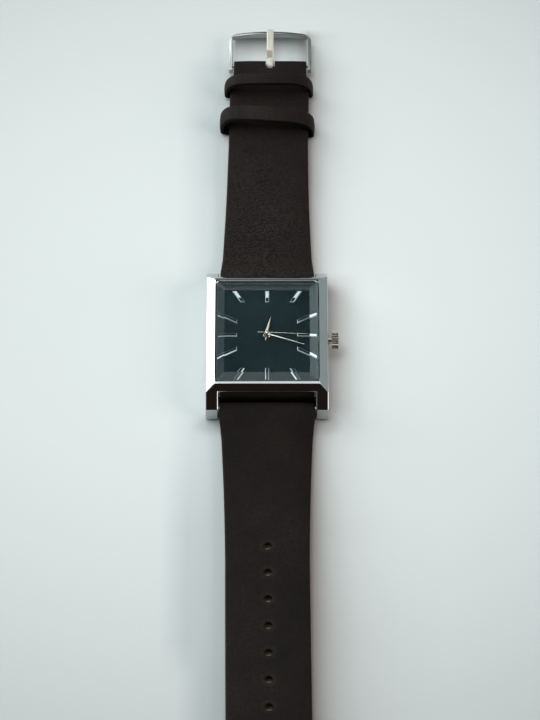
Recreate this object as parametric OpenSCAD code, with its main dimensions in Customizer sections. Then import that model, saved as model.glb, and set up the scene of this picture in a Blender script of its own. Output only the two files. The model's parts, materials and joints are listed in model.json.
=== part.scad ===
// Rectangular quartz wristwatch on a two-piece leather strap, in millimetres.
// Origin on the underside of the case back, +X to the crown, +Y to twelve o'clock, +Z out of the dial.

/* [Case] */

// Width of the case across the dial
case_w = 28; // [20:0.5:40]
// Length of the case from lug tip to lug tip
case_len = 40.5; // [30:0.5:55]
// Height of the bezel top above the table
case_top = 7.9; // [6:0.1:12]
// Height of the case underside above the table
case_low = 0.4; // [0.2:0.1:1.5]
// Width of the strap space between the lugs
lug_gap = 22.4; // [16:0.1:26]
// Length of the flat bezel from end to end
bezel_len = 29.8; // [26:0.5:40]
// Width of the chamfer along each side
side_chamfer = 2; // [0.5:0.1:3]
// Drop of the chamfer along each side
side_drop = 1.4; // [0.3:0.1:3]
// Height of the upright end face of a lug
lug_face_top = 3.9; // [2:0.1:6]
// Length of the case between the end walls that face the strap
wall_len = 34; // [30:0.1:40]

/* [Crystal and dial] */

// Width of the crystal
glass_w = 23.6; // [16:0.1:34]
// Length of the crystal
glass_len = 29.2; // [20:0.1:40]
// Thickness of the crystal
glass_t = 1; // [0.6:0.1:2]
// Width of the bevel round the crystal
glass_bevel = 2; // [0.3:0.1:3]
// Height of the crystal above the bezel
glass_proud = 0.3; // [0:0.05:1]
// Height of the dial face above the table
dial_top = 5.5; // [4:0.1:8]
// Thickness of the dial
dial_t = 0.4; // [0.2:0.05:0.8]
// Length of a side marker across its band
marker_side_len = 4.28; // [1:0.02:6]
// Length of a marker at twelve and six
marker_end_len = 3.3; // [1:0.02:6]
// Width of an hour marker
marker_w = 0.88; // [0.3:0.02:2]
// Height of an hour marker
marker_h = 0.35; // [0.1:0.05:0.6]

/* [Hands] */

// Length of the hour hand
hour_len = 5.35; // [3:0.05:9]
// Length of the minute hand
minute_len = 9.1; // [5:0.1:11]
// Length of the second hand
second_len = 9.1; // [5:0.1:11]
// Thickness of a hand
hand_t = 0.14; // [0.08:0.01:0.3]
// Angle of the hour hand from twelve
hour_angle = 9.2; // [0:0.1:360]
// Angle of the minute hand from twelve
minute_angle = 110.4; // [0:0.1:360]
// Angle of the second hand from twelve
second_angle = 93.2; // [0:0.1:360]

/* [Crown] */

// Diameter of the crown
crown_d = 4.1; // [3:0.1:7]
// Length of the crown
crown_len = 1.9; // [1.2:0.1:4]
// Distance from the case side to the crown when it is pulled out
crown_gap = 0.85; // [0.5:0.05:2]
// Height of the crown axis above the table
crown_z = 4.2; // [3:0.1:6]

/* [Movement] */

// Width of the movement
move_w = 15.2; // [10:0.1:20]
// Length of the movement
move_len = 17.8; // [12:0.1:25]
// Diameter of the battery
battery_d = 5.8; // [4.8:0.1:9.5]
// Height of the battery
battery_h = 2.1; // [1.2:0.1:3.6]

/* [Strap] */

// Thickness of the strap round the spring bar
strap_t_bar = 3; // [2:0.1:5]
// Thickness of the strap along its length
strap_t = 2; // [1.2:0.1:4]
// Space between each side of the strap and its lug
strap_side_gap = 0.3; // [0.1:0.05:1]
// Width of the parallel part of the strap
strap_w = 18.9; // [10:0.1:22]
// Length of the buckle half from spring bar to buckle bar
upper_len = 68.3; // [50:0.5:95]
// Length of the tail half from spring bar to tip
lower_len = 110; // [80:1:140]
// Diameter of an adjusting hole
hole_d = 2; // [1:0.1:3]
// Number of adjusting holes
hole_n = 8; // [5:1:12]
// Spacing of the adjusting holes
hole_pitch = 7.3; // [4:0.1:9]
// Distance from the spring bar to the first adjusting hole
hole_first = 38.5; // [25:0.5:70]
// Sideways drift of each strap end
strap_sway = 0.7; // [0:0.1:2]

/* [Keepers and buckle] */

// Distance from the buckle bar back to the front of the fixed keeper
keeper_fixed_back = 9.4; // [6:0.1:14]
// Distance from the buckle bar back to the front of the free keeper
keeper_free_back = 21.2; // [16:0.1:30]
// Width of the fixed keeper along the strap
keeper_fixed_w = 3.3; // [2:0.1:8]
// Width of the free keeper along the strap
keeper_free_w = 4.4; // [2:0.1:8]
// Height of the top of each keeper above the table
keeper_top = 6.3; // [4:0.1:9]
// Outer width of the buckle frame
buckle_w = 19.8; // [14:0.1:26]
// Distance from the buckle bar to the outside of the frame
buckle_reach = 9.7; // [6:0.1:16]

/* [Hidden] */

// colours
steel_col = "silver";
leather_col = "saddlebrown";
brass_col = "goldenrod";
dark_col = "darkslategray";
plastic_col = "ivory";

// small shared amounts
eps = 0.01;
cut = 1;
run_fit = 0.05;
round_fn = 48;
half = 0.5;
full_turn = 360;
half_turn = 180;
quarter = 90;

// case, derived
case_hw = case_w * half;
case_hl = case_len * half;
wall_y = wall_len * half;
glass_top = case_top + glass_proud;
glass_low = glass_top - glass_t;
glass_edge = 0.42;
glass_corner = 1;
seat_drop = 0.2;
seat_z = glass_low - seat_drop;
seat_rim = 0.5;
cavity_inset = 0.3;
cavity_w = glass_w - 2 * cavity_inset;
cavity_len = glass_len - 2 * cavity_inset;
cavity_gap = 0.1;
rim_r = 1.6;
rim_steps = 8;
chamfer_mid = case_top - side_drop;
back_t = 0.8;
back_rim_top = 1.7;
back_rim_t = 0.6;
back_lap_x = 1.3;
back_lap_y = 1.6;
back_w = cavity_w + 2 * back_lap_x;
back_len = cavity_len + 2 * back_lap_y;
back_corner = 2;
gasket_w = 0.5;
gasket_h = 0.35;
notch_w = 3;
notch_d = 0.8;

// spring bars
lug_hw = lug_gap * half;
wall_gap = 0.3;
bar_rise = 2.1;
bar_y = wall_y + strap_t_bar * half + wall_gap;
bar_z = case_low + bar_rise;
bar_r = 0.75;
bar_hl = lug_hw - 1.3;
tip_r = 0.4;
tip_in = bar_hl - 1.7;
tip_out = lug_hw + 0.85;
tip_hole_end = lug_hw + 1.1;
collar_r = 0.65;
collar_in = lug_hw - 0.3;
collar_out = lug_hw - 0.1;

// crown and stem
stem_r = 0.45;
stem_in = 3.4;
tube_r = 0.95;
tube_in = cavity_w * half + 0.1;
tube_out = case_hw + 0.6;
crown_in = case_hw + crown_gap;
crown_r = crown_d * half;
crown_out = crown_in + crown_len;
crown_dome = 0.35;
crown_bore_r = 1.3;
crown_bore_d = 1.1;
stem_out = crown_in + crown_bore_d + 0.4;
knurl_n = 22;
knurl_d = 0.26;
groove_in = 6;
groove_out = 6.35;
groove_r = 0.28;
fork_in = 6.05;
fork_out = 6.3;
fork_w = 0.62;
slide_in = 5.85;
slide_out = 6.75;
slide_y0 = 0.7;
slide_y1 = 2.2;
slide_z0 = crown_z - 0.3;
slide_z1 = crown_z + 0.2;

// movement levels
dial_z0 = dial_top - dial_t;
dial_w = cavity_w - 2 * cavity_gap;
dial_len = cavity_len - 2 * cavity_gap;
holder_w = dial_w;
holder_len = dial_len;
move_hw = move_w * half;
move_hl = move_len * half;
motion_space = 0.6;
plate_t = 1;
train_space = 1.5;
bridge_t = 0.4;
board_t = 0.25;
plate_z1 = dial_z0 - motion_space;
plate_z0 = plate_z1 - plate_t;
bridge_z1 = plate_z0 - train_space;
bridge_z0 = bridge_z1 - bridge_t;
board_z1 = bridge_z0 - 0.1;
board_z0 = board_z1 - board_t;
board_edge = 0.2;
board_w = 2.25;
board_arm_w = 2.3;
board_arm_x = 1.2;
dial_hole_r = 1;
dial_foot_r = 0.35;
dial_foot_len = 0.9;
dial_foot_z = dial_z0 - dial_foot_len;
dial_foot_x = move_hw + 1.6;
dial_foot_y = move_hl + 1.6;
pivot_r = 0.12;
pivot_hole_r = 0.16;
pivot_top = plate_z0 + 0.45;
pivot_low = bridge_z0 + 0.05;

// height of each wheel above the bridge or the main plate, and its thickness
wheel_t = 0.13;
second_wheel_z = bridge_z1 + 0.08;
inter_pinion_z = bridge_z1 + 0.05;
rotor_pinion_z = bridge_z1 + 0.33;
rotor_pinion_t = 0.22;
inter_wheel_z = bridge_z1 + 0.38;
second_pinion_z = bridge_z1 + 0.3;
second_pinion_t = 0.55;
third_wheel_z = bridge_z1 + 0.62;
third_pinion_t = 0.55;
centre_wheel_z = plate_z0 - 0.45;
cannon_low = plate_z0 - 0.5;
cannon_pinion_z = plate_z1 + 0.03;
cannon_pinion_t = 0.19;
minute_wheel_z = plate_z1 + 0.05;
hour_wheel_z = plate_z1 + 0.3;
hour_wheel_t = 0.15;
minute_pinion_top = dial_z0 - 0.1;
stud_r = 0.2;
stud_bore_r = 0.24;
collar_gear_r = 0.3;

// gear train: module and teeth of each meshing pair
mod_a = 0.1;
second_pinion_n = 8;
third_wheel_n = 60;
mod_b = mod_a * (second_pinion_n + third_wheel_n) / 72;
third_pinion_n = 8;
centre_wheel_n = 64;
mod_c = 0.1;
cannon_n = 12;
minute_wheel_n = 36;
mod_d = mod_c * (cannon_n + minute_wheel_n) / 50;
minute_pinion_n = 10;
hour_wheel_n = 40;
mod_e = 0.12;
inter_pinion_n = 8;
second_wheel_n = 40;
mod_f = 0.09;
rotor_pinion_n = 8;
inter_wheel_n = 48;
third_dist = mod_a * (second_pinion_n + third_wheel_n) * half;
minute_dist = mod_c * (cannon_n + minute_wheel_n) * half;
inter_dist = mod_e * (inter_pinion_n + second_wheel_n) * half;
rotor_dist = mod_f * (rotor_pinion_n + inter_wheel_n) * half;
third_dir = 205;
minute_dir = 120;
inter_dir = 315;
rotor_dir = 300;
third_at = third_dist * [cos(third_dir), sin(third_dir)];
minute_at = minute_dist * [cos(minute_dir), sin(minute_dir)];
inter_at = inter_dist * [cos(inter_dir), sin(inter_dir)];
rotor_at = inter_at + rotor_dist * [cos(rotor_dir), sin(rotor_dir)];

// hands, derived
hour_z = dial_top + 0.37;
minute_z = hour_z + 0.45;
second_z = minute_z + 0.45;
arbor_r = 0.15;
cannon_bore = 0.2;
cannon_r = 0.4;
hour_bore = 0.45;
hour_tube_r = 0.7;
hour_hub_r = 0.88;
minute_hub_r = 0.6;
second_hub_r = 0.4;
second_tail = 2.2;

// movement parts in plan
battery_x = -battery_d * half - 0.3;
battery_y = move_hl - 0.4 - battery_d * half;
can_r = 0.95;
can_len = 6;
can_x = move_hw - 0.7 - can_r;
can_y0 = 2.2;
can_y1 = can_y0 + can_len;
chip_w = 1.6;
chip_h = 0.6;
chip_x = 5.4;
chip_y = -5.4;
coil_hw = 0.5;
coil_y = -move_hl + coil_hw + 1;
coil_x0 = -1.5;
coil_x1 = 5.5;
coil_leg = 1.1;
coil_gap = 0.3;
coil_r = 0.8;
stator_t = 0.4;
core_t = 0.4;
stator_z1 = plate_z0 - 0.3;
stator_z0 = stator_z1 - stator_t;
core_z0 = stator_z0 - core_t;
stator_y0 = -5.9;
stator_y1 = -2.9;
stator_y2 = -4.4;
stator_x = 1.6;
magnet_r = 0.6;
magnet_gap = 0.3;
boss_r = 0.4;
boss_at = [[-0.9, -5.1], [5, -3.5]];
post_r = 0.5;
post_at = [[6.7, 0.9], [6.6, -7.9]];
bridge_x0 = -6.9;
bridge_x1 = 5;
bridge_y0 = -5.7;
bridge_y1 = 2.3;
screw_at = [[-6.1, 1.6], [4.3, 1.7], [-4.9, -5]];
screw_stop = 0.3;
pillar_r = 0.6;
screw_r = 0.3;
screw_head_r = 0.55;
screw_head_h = 0.3;

// strap, derived
lining_t = 0.8;
drop_run = 8;
keeper_lift = 0.95;
lift_run = 8;
lift_start = upper_len - 33.3 - lift_run;
lining_start = 3;
lining_end = 3;
end_narrow = 7;
end_parallel = 3;
strap_w_lug = lug_gap - 2 * strap_side_gap;
tip_run = 9;
strap_step = 2;
buckle_y = bar_y + upper_len;
buckle_z = keeper_lift + strap_t * half;
loop_r = 1.25;
pin_r = 0.45;
slot_w = 2.1;
slot_back = 1.6;
// share of the taper that is left, by distance from the spring bar
taper = [[0, 1], [2, 1], [8, 0.64], [14, 0.47], [20, 0.31], [25, 0.21], [31, 0.11], [37, 0.04], [42, 0], [200, 0]];

// keepers and buckle, derived
keeper_fixed_y = buckle_y - keeper_fixed_back;
keeper_free_y = buckle_y - keeper_free_back;
keeper_fixed_hw = strap_w * half + 1.1;
keeper_free_hw = strap_w * half + 1.75;
keeper_fixed_shift = 0.36;
keeper_free_shift = 0;
keeper_mid = strap_t;
keeper_side_t = 0.8;
keeper_top_t = 1;
keeper_low_t = 0.5;
keeper_sq = 0.4;
keeper_low_sq = 0.3;
keeper_steps = 48;
frame_t = 1.3;
frame_arm = 0.85;
frame_front = 0.8;
frame_arch = 1.3;
frame_corner = 2;
frame_tail = 1.8;
frame_side_share = 0.9;
bar_inset = 0.1;
tongue_w = 1.65;
tongue_t = 0.8;
tongue_eye_r = 1.15;
buckle_x = strap_sway;
strap_w_buckle = buckle_w - 2 * frame_arm - 2 * strap_side_gap;

// smooth step from 0 to 1
function ease(t) = t <= 0 ? 0 : t >= 1 ? 1 : t * t * (3 - 2 * t);
// underside of a strap half at distance s from its spring bar
function low(s, lift) = (bar_z - strap_t_bar * half) * (1 - ease(s / drop_run))
    + lift * ease((s - lift_start) / lift_run);
// thickness of a strap half at distance s
function thick(s) = strap_t_bar + (strap_t - strap_t_bar) * ease(s / drop_run);
// width of the tapered strap at distance s
function wide(s) = strap_w + (strap_w_lug - strap_w) * lookup(s, taper);
// sideways drift at distance s
function sway(s, len) = strap_sway * pow(s / len, 2);
// rounding of the tail tip at distance s
function tip_share(s) = sqrt(max(0, 1 - pow(max(0, (s - lower_len + tip_run) / tip_run), 2)));
// narrowing at the buckle end at distance s
function narrow(s) = (strap_w_buckle - strap_w) * ease((s - upper_len + end_narrow) / (end_narrow - end_parallel));
// signed power, for rounded rectangles
function spow(v, p) = sign(v) * pow(abs(v), p);

// block between two corners
module block(x0, x1, y0, y1, z0, z1) {
    translate([x0, y0, z0]) cube([x1 - x0, y1 - y0, z1 - z0]);
}

// upright rod
module rod(r, z0, z1, at = [0, 0]) {
    translate([at[0], at[1], z0]) cylinder(h = z1 - z0, r = r, $fn = round_fn);
}

// rod along X
module rod_x(r, x0, x1, y, z) {
    translate([x0, y, z]) rotate([0, quarter, 0]) cylinder(h = x1 - x0, r = r, $fn = round_fn);
}

// upright plate with rounded corners, centred
module plate(w, len, corner, z0, z1) {
    hw = w * half - corner;
    hl = len * half - corner;
    union() {
        block(-hw - corner, hw + corner, -hl, hl, z0, z1);
        block(-hw, hw, -hl - corner, hl + corner, z0, z1);
        for (sx = [-1, 1], sy = [-1, 1]) rod(corner, z0, z1, [sx * hw, sy * hl]);
    }
}

// spur gear, its first tooth centred on the direction start
module gear(n, m, z0, z1, start = 0) {
    root = m * n * half - m * 1.1;
    tip = m * n * half + m * 0.85;
    pitch = full_turn / n;
    pts = [for (i = [0 : n - 1], k = [0 : 3])
        let (r = (k == 0 || k == 3) ? root : tip, a = start + pitch * (i + [-0.3, -0.1, 0.1, 0.3][k]))
        r * [cos(a), sin(a)]];
    translate([0, 0, z0]) linear_extrude(z1 - z0) polygon(pts);
}

// outline of the case seen from the side, drawn with X for Y and Y for Z
module case_side() {
    bezel = bezel_len * half;
    slope = atan((case_top - lug_face_top) / (case_hl - bezel));
    end = [for (i = [0 : rim_steps])
        let (a = slope * i / rim_steps)
        [bezel + rim_r * sin(a), case_top - rim_r * (1 - cos(a))]];
    polygon(concat([[-case_hl, case_low], [case_hl, case_low], [case_hl, lug_face_top]],
        [for (i = [rim_steps : -1 : 0]) end[i]], [for (p = end) [-p[0], p[1]]], [[-case_hl, lug_face_top]]));
}

// outline of the case seen from the end
module case_end() {
    flat = case_hw - side_chamfer;
    polygon([[-case_hw, case_low], [case_hw, case_low], [case_hw, chamfer_mid], [flat, case_top],
        [-flat, case_top], [-case_hw, chamfer_mid]]);
}

module case_body() {
    color(steel_col) difference() {
        intersection() {
            translate([-case_hw, 0, 0]) rotate([quarter, 0, quarter]) linear_extrude(case_w) case_side();
            translate([0, case_hl, 0]) rotate([quarter, 0, 0]) linear_extrude(case_len) case_end();
        }
        for (s = [-1, 1]) {
            block(-lug_hw, lug_hw, s > 0 ? wall_y : -case_hl - cut,
                s > 0 ? case_hl + cut : -wall_y, 0, case_top + cut);
            for (t = [-1, 1])
                rod_x(tip_r + run_fit, t > 0 ? lug_hw - cut : -tip_hole_end,
                    t > 0 ? tip_hole_end : -lug_hw + cut, s * bar_y, bar_z);
        }
        plate(glass_w, glass_len, glass_corner, seat_z, case_top + cut);
        block(-glass_w * half + seat_rim, glass_w * half - seat_rim, -glass_len * half + seat_rim,
            glass_len * half - seat_rim, dial_top - eps, seat_z + eps);
        block(-cavity_w * half, cavity_w * half, -cavity_len * half, cavity_len * half, case_low - cut, dial_top);
        plate(back_w, back_len, back_corner, case_low - cut, back_t);
        plate(cavity_w + 2 * gasket_w, cavity_len + 2 * gasket_w, gasket_w, back_t - eps, back_t + gasket_h);
        rod_x(tube_r, cavity_w * half - cut, case_hw + cut, 0, crown_z);
    }
}

module crystal() {
    color("lightcyan") intersection() {
        plate(glass_w, glass_len, glass_corner, glass_low, glass_top);
        rotate([quarter, 0, 0]) translate([0, 0, -glass_len]) linear_extrude(2 * glass_len)
            polygon([[-glass_w * half, glass_low], [glass_w * half, glass_low],
                [glass_w * half, glass_low + glass_edge], [glass_w * half - glass_bevel, glass_top],
                [-glass_w * half + glass_bevel, glass_top], [-glass_w * half, glass_low + glass_edge]]);
        translate([-glass_w, 0, 0]) rotate([quarter, 0, quarter]) linear_extrude(2 * glass_w)
            polygon([[-glass_len * half, glass_low], [glass_len * half, glass_low],
                [glass_len * half, glass_low + glass_edge], [glass_len * half - glass_bevel, glass_top],
                [-glass_len * half + glass_bevel, glass_top], [-glass_len * half, glass_low + glass_edge]]);
    }
}

module crystal_gasket() {
    color("dimgray") difference() {
        plate(glass_w, glass_len, glass_corner, seat_z, glass_low);
        block(-glass_w * half + seat_rim, glass_w * half - seat_rim, -glass_len * half + seat_rim,
            glass_len * half - seat_rim, seat_z - cut, glass_low + cut);
    }
}

module case_back() {
    color(steel_col) difference() {
        union() {
            plate(back_w, back_len, back_corner, 0, back_t);
            block(-cavity_w * half + run_fit, cavity_w * half - run_fit, -cavity_len * half + run_fit,
                cavity_len * half - run_fit, back_t - eps, back_rim_top);
        }
        block(-cavity_w * half + back_rim_t, cavity_w * half - back_rim_t, -cavity_len * half + back_rim_t,
            cavity_len * half - back_rim_t, back_t, back_rim_top + cut);
        block(-notch_w * half, notch_w * half, -back_len * half - cut, -back_len * half + notch_d, -cut,
            case_low * half);
    }
}

module back_gasket() {
    color("black") difference() {
        plate(cavity_w + 2 * gasket_w, cavity_len + 2 * gasket_w, gasket_w, back_t, back_t + gasket_h);
        block(-cavity_w * half, cavity_w * half, -cavity_len * half, cavity_len * half, 0, back_rim_top);
    }
}

module dial() {
    color(dark_col) union() {
        difference() {
            block(-dial_w * half, dial_w * half, -dial_len * half, dial_len * half, dial_z0, dial_top);
            rod(dial_hole_r, dial_z0 - cut, dial_top + cut);
        }
        for (s = [-1, 1]) rod(dial_foot_r, dial_foot_z, dial_z0 + eps, [-s * dial_foot_x, s * dial_foot_y]);
    }
}

// band on the dial between two rectangles, where the markers lie
marker_side_gap = 0.6;
marker_end_gap = 1.5;
marker_out_x = glass_w * half - marker_side_gap;
marker_out_y = glass_len * half - marker_end_gap;
marker_in_x = marker_out_x - marker_side_len;
marker_in_y = marker_out_y - marker_end_len;

module hour_markers() {
    color(steel_col) intersection() {
        difference() {
            block(-marker_out_x, marker_out_x, -marker_out_y, marker_out_y, dial_top, dial_top + marker_h);
            block(-marker_in_x, marker_in_x, -marker_in_y, marker_in_y, dial_top - cut, dial_top + cut);
        }
        union() {
            for (i = [0 : 5]) rotate([0, 0, i * full_turn / 12])
                block(-marker_w * half, marker_w * half, -case_hl, case_hl, dial_top, dial_top + marker_h);
        }
    }
}

module movement_holder() {
    color(plastic_col) difference() {
        block(-holder_w * half, holder_w * half, -holder_len * half, holder_len * half, back_rim_top, dial_z0);
        block(-move_hw, move_hw, -move_hl, move_hl, back_rim_top - cut, dial_z0 + cut);
        block(move_hw - cut, holder_w * half + cut, -tube_r, tube_r, crown_z - tube_r, dial_z0 + cut);
        for (s = [-1, 1])
            rod(dial_foot_r, dial_foot_z, dial_z0 + cut, [-s * dial_foot_x, s * dial_foot_y]);
    }
}

module main_plate() {
    channel = 0.15;
    channel_z = crown_z - stem_r - 0.1;
    color(brass_col) difference() {
        union() {
            block(-move_hw, move_hw, -move_hl, move_hl, plate_z0, plate_z1);
            rod(stud_r, plate_z1 - eps, dial_z0 - run_fit, minute_at);
            for (p = boss_at) rod(boss_r, stator_z1, plate_z0 + eps, p);
            for (p = post_at) rod(post_r, board_z1, plate_z0 + eps, p);
        }
        rod(cannon_r + run_fit, plate_z0 - cut, plate_z1 + cut);
        for (p = [third_at, inter_at, rotor_at]) rod(pivot_hole_r, plate_z0 - cut, pivot_top + 0.1, p);
        for (p = screw_at) rod(screw_r, plate_z0 - cut, plate_z1 - screw_stop, p);
        block(stem_in - 1, move_hw + cut, -stem_r - channel, stem_r + channel, channel_z, plate_z1 + cut);
        block(slide_in - 0.95, slide_out + 0.2, -stem_r - 2 * channel, slide_y1 + 0.2, channel_z, plate_z1 + cut);
    }
}

module train_bridge() {
    color(brass_col) difference() {
        union() {
            block(bridge_x0, bridge_x1, bridge_y0, bridge_y1, bridge_z0, bridge_z1);
            for (p = screw_at) rod(pillar_r, bridge_z1 - eps, plate_z0, p);
        }
        rod(arbor_r + run_fit, bridge_z0 - cut, bridge_z1 + cut);
        for (p = [third_at, inter_at, rotor_at]) rod(pivot_hole_r, bridge_z0 - cut, bridge_z1 + cut, p);
        for (p = screw_at) rod(screw_r, bridge_z0 - cut, plate_z0 + cut, p);
    }
}

// one bridge screw with a slotted head under the bridge
module bridge_screw(at) {
    slot = 0.15;
    color(steel_col) difference() {
        union() {
            rod(screw_head_r, bridge_z0 - screw_head_h, bridge_z0, at);
            rod(screw_r, bridge_z0 - eps, plate_z1 - screw_stop - run_fit, at);
        }
        block(at[0] - screw_head_r - cut, at[0] + screw_head_r + cut, at[1] - slot * half, at[1] + slot * half,
            bridge_z0 - screw_head_h - cut, bridge_z0 - screw_head_h * half);
    }
}

module circuit_board() {
    board_hl = move_hl - board_edge;
    board_x1 = move_hw - board_edge;
    color("seagreen") union() {
        block(board_x1 - board_w, board_x1, -board_hl, board_hl, board_z0, board_z1);
        block(board_arm_x, board_x1 - board_w + run_fit, -board_hl, -board_hl + board_arm_w, board_z0, board_z1);
    }
}

module control_chip() {
    color("black") block(chip_x, chip_x + chip_w, chip_y, chip_y + chip_w, board_z1, board_z1 + chip_h);
}

module quartz_can() {
    color(steel_col) translate([can_x, can_y0, board_z1 + can_r]) rotate([-quarter, 0, 0])
        cylinder(h = can_y1 - can_y0, r = can_r, $fn = round_fn);
}

module battery() {
    step_r = 0.35;
    step_h = 0.25;
    low_z = plate_z0 - battery_h;
    color(steel_col) union() {
        rod(battery_d * half, low_z + step_h, plate_z0, [battery_x, battery_y]);
        rod(battery_d * half - step_r, low_z, low_z + step_h + run_fit, [battery_x, battery_y]);
    }
}

module battery_clip() {
    clip_z = plate_z0 - battery_h;
    clip_t = 0.15;
    clip_hw = 1;
    reach = 2;
    clip_x = battery_x + battery_d * half + 0.25;
    color(brass_col) union() {
        block(battery_x - reach, clip_x + clip_t, battery_y - clip_hw, battery_y + clip_hw, clip_z - clip_t, clip_z);
        block(clip_x, clip_x + clip_t, battery_y - clip_hw, battery_y + clip_hw, clip_z - eps, plate_z0);
    }
}

module coil_core() {
    color(steel_col) block(coil_x0, coil_x1, coil_y - coil_hw, coil_y + coil_hw, core_z0, stator_z0);
}

module coil_winding() {
    core_mid = (core_z0 + stator_z0) * half;
    color("peru") difference() {
        rod_x(coil_r, coil_x0 + coil_leg + coil_gap, coil_x1 - coil_leg - coil_gap, coil_y, core_mid);
        block(coil_x0, coil_x1, coil_y - coil_hw, coil_y + coil_hw, core_z0, stator_z0);
    }
}

module stator() {
    leg_y0 = coil_y - coil_hw;
    leg_y1 = stator_y0 + 0.1;
    color(steel_col) difference() {
        union() {
            block(stator_x, coil_x1, stator_y0, stator_y1, stator_z0, stator_z1);
            block(coil_x0, stator_x + run_fit, stator_y0, stator_y2, stator_z0, stator_z1);
            block(coil_x0, coil_x0 + coil_leg, leg_y0, leg_y1, stator_z0, stator_z1);
            block(coil_x1 - coil_leg, coil_x1, leg_y0, leg_y1, stator_z0, stator_z1);
        }
        rod(magnet_r + magnet_gap, stator_z0 - cut, stator_z1 + cut, rotor_at);
    }
}

// angle of half a tooth pitch, which sets a tooth against a gap
function half_tooth(n) = full_turn * half / n;

module rotor() {
    color("slategray") translate([rotor_at[0], rotor_at[1], 0]) union() {
        rod(pivot_r, pivot_low, pivot_top);
        rod(magnet_r, stator_z0 - 0.05, stator_z1 + 0.1);
        gear(rotor_pinion_n, mod_f, rotor_pinion_z, rotor_pinion_z + rotor_pinion_t,
            rotor_dir + half_turn + half_tooth(rotor_pinion_n));
    }
}

module intermediate_wheel() {
    color(plastic_col) translate([inter_at[0], inter_at[1], 0]) union() {
        rod(pivot_r, pivot_low, pivot_top);
        gear(inter_wheel_n, mod_f, inter_wheel_z, inter_wheel_z + wheel_t, rotor_dir);
        gear(inter_pinion_n, mod_e, inter_pinion_z, inter_wheel_z + eps,
            inter_dir + half_turn + half_tooth(inter_pinion_n));
    }
}

module second_wheel() {
    color(brass_col) union() {
        rod(arbor_r, pivot_low, second_z + hand_t + run_fit);
        gear(second_wheel_n, mod_e, second_wheel_z, second_wheel_z + wheel_t, inter_dir);
        gear(second_pinion_n, mod_a, second_pinion_z, second_pinion_z + second_pinion_t, third_dir);
        rod(collar_gear_r, second_wheel_z + wheel_t - eps, second_pinion_z + run_fit);
    }
}

module third_wheel() {
    top = third_wheel_z + wheel_t;
    color(brass_col) translate([third_at[0], third_at[1], 0]) union() {
        rod(pivot_r, pivot_low, pivot_top);
        gear(third_wheel_n, mod_a, third_wheel_z, top, third_dir + half_turn + half_tooth(third_wheel_n));
        gear(third_pinion_n, mod_b, top - eps, top + third_pinion_t, third_dir + half_turn);
    }
}

module centre_wheel() {
    color(brass_col) difference() {
        union() {
            rod(cannon_r, cannon_low, minute_z + hand_t);
            gear(centre_wheel_n, mod_b, centre_wheel_z, centre_wheel_z + wheel_t,
                third_dir + half_tooth(centre_wheel_n));
            gear(cannon_n, mod_c, cannon_pinion_z, cannon_pinion_z + cannon_pinion_t, minute_dir);
        }
        rod(cannon_bore, cannon_low - cut, minute_z + cut);
    }
}

module minute_wheel() {
    top = minute_wheel_z + wheel_t;
    color(plastic_col) difference() {
        translate([minute_at[0], minute_at[1], 0]) union() {
            gear(minute_wheel_n, mod_c, minute_wheel_z, top, minute_dir + half_turn + half_tooth(minute_wheel_n));
            gear(minute_pinion_n, mod_d, top - eps, minute_pinion_top, minute_dir + half_turn);
        }
        rod(stud_bore_r, plate_z1 - cut, dial_z0 + cut, minute_at);
    }
}

module hour_wheel() {
    color(brass_col) difference() {
        union() {
            rod(hour_tube_r, hour_wheel_z, hour_z + hand_t);
            gear(hour_wheel_n, mod_d, hour_wheel_z, hour_wheel_z + hour_wheel_t,
                minute_dir + half_tooth(hour_wheel_n));
        }
        rod(hour_bore, hour_wheel_z - cut, hour_z + cut);
    }
}

// hand turned clockwise from twelve; outline points run along Y
module hand(angle, z, pts, hub_r, bore_r) {
    rotate([0, 0, -angle]) difference() {
        union() {
            translate([0, 0, z]) linear_extrude(hand_t) polygon(pts);
            rod(hub_r, z, z + hand_t);
        }
        rod(bore_r, z - cut, z + cut);
    }
}

module hour_hand() {
    hw = 0.62;
    tail = 1.8;
    tail_hw = 0.08;
    shoulder = 0.7;
    color(steel_col) hand(hour_angle, hour_z,
        [[0, hour_len], [hw, shoulder], [tail_hw, -tail], [-tail_hw, -tail], [-hw, shoulder]],
        hour_hub_r, hour_tube_r);
}

module minute_hand() {
    hw = 0.32;
    tail = 1.3;
    tail_hw = 0.08;
    point_hw = 0.11;
    shoulder = 0.8;
    color(steel_col) hand(minute_angle, minute_z,
        [[-point_hw, minute_len], [point_hw, minute_len], [hw, shoulder], [tail_hw, -tail], [-tail_hw, -tail],
            [-hw, shoulder]], minute_hub_r, cannon_r);
}

module second_hand() {
    hw = 0.14;
    tail_hw = 0.2;
    point_hw = 0.07;
    color(steel_col) hand(second_angle, second_z,
        [[-point_hw, second_len], [point_hw, second_len], [hw, 0], [tail_hw, -second_tail],
            [-tail_hw, -second_tail], [-hw, 0]], second_hub_r, arbor_r);
}

module crown_tube() {
    color(steel_col) difference() {
        rod_x(tube_r, tube_in, tube_out, 0, crown_z);
        rod_x(stem_r + run_fit, tube_in - cut, tube_out + cut, 0, crown_z);
    }
}

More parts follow.
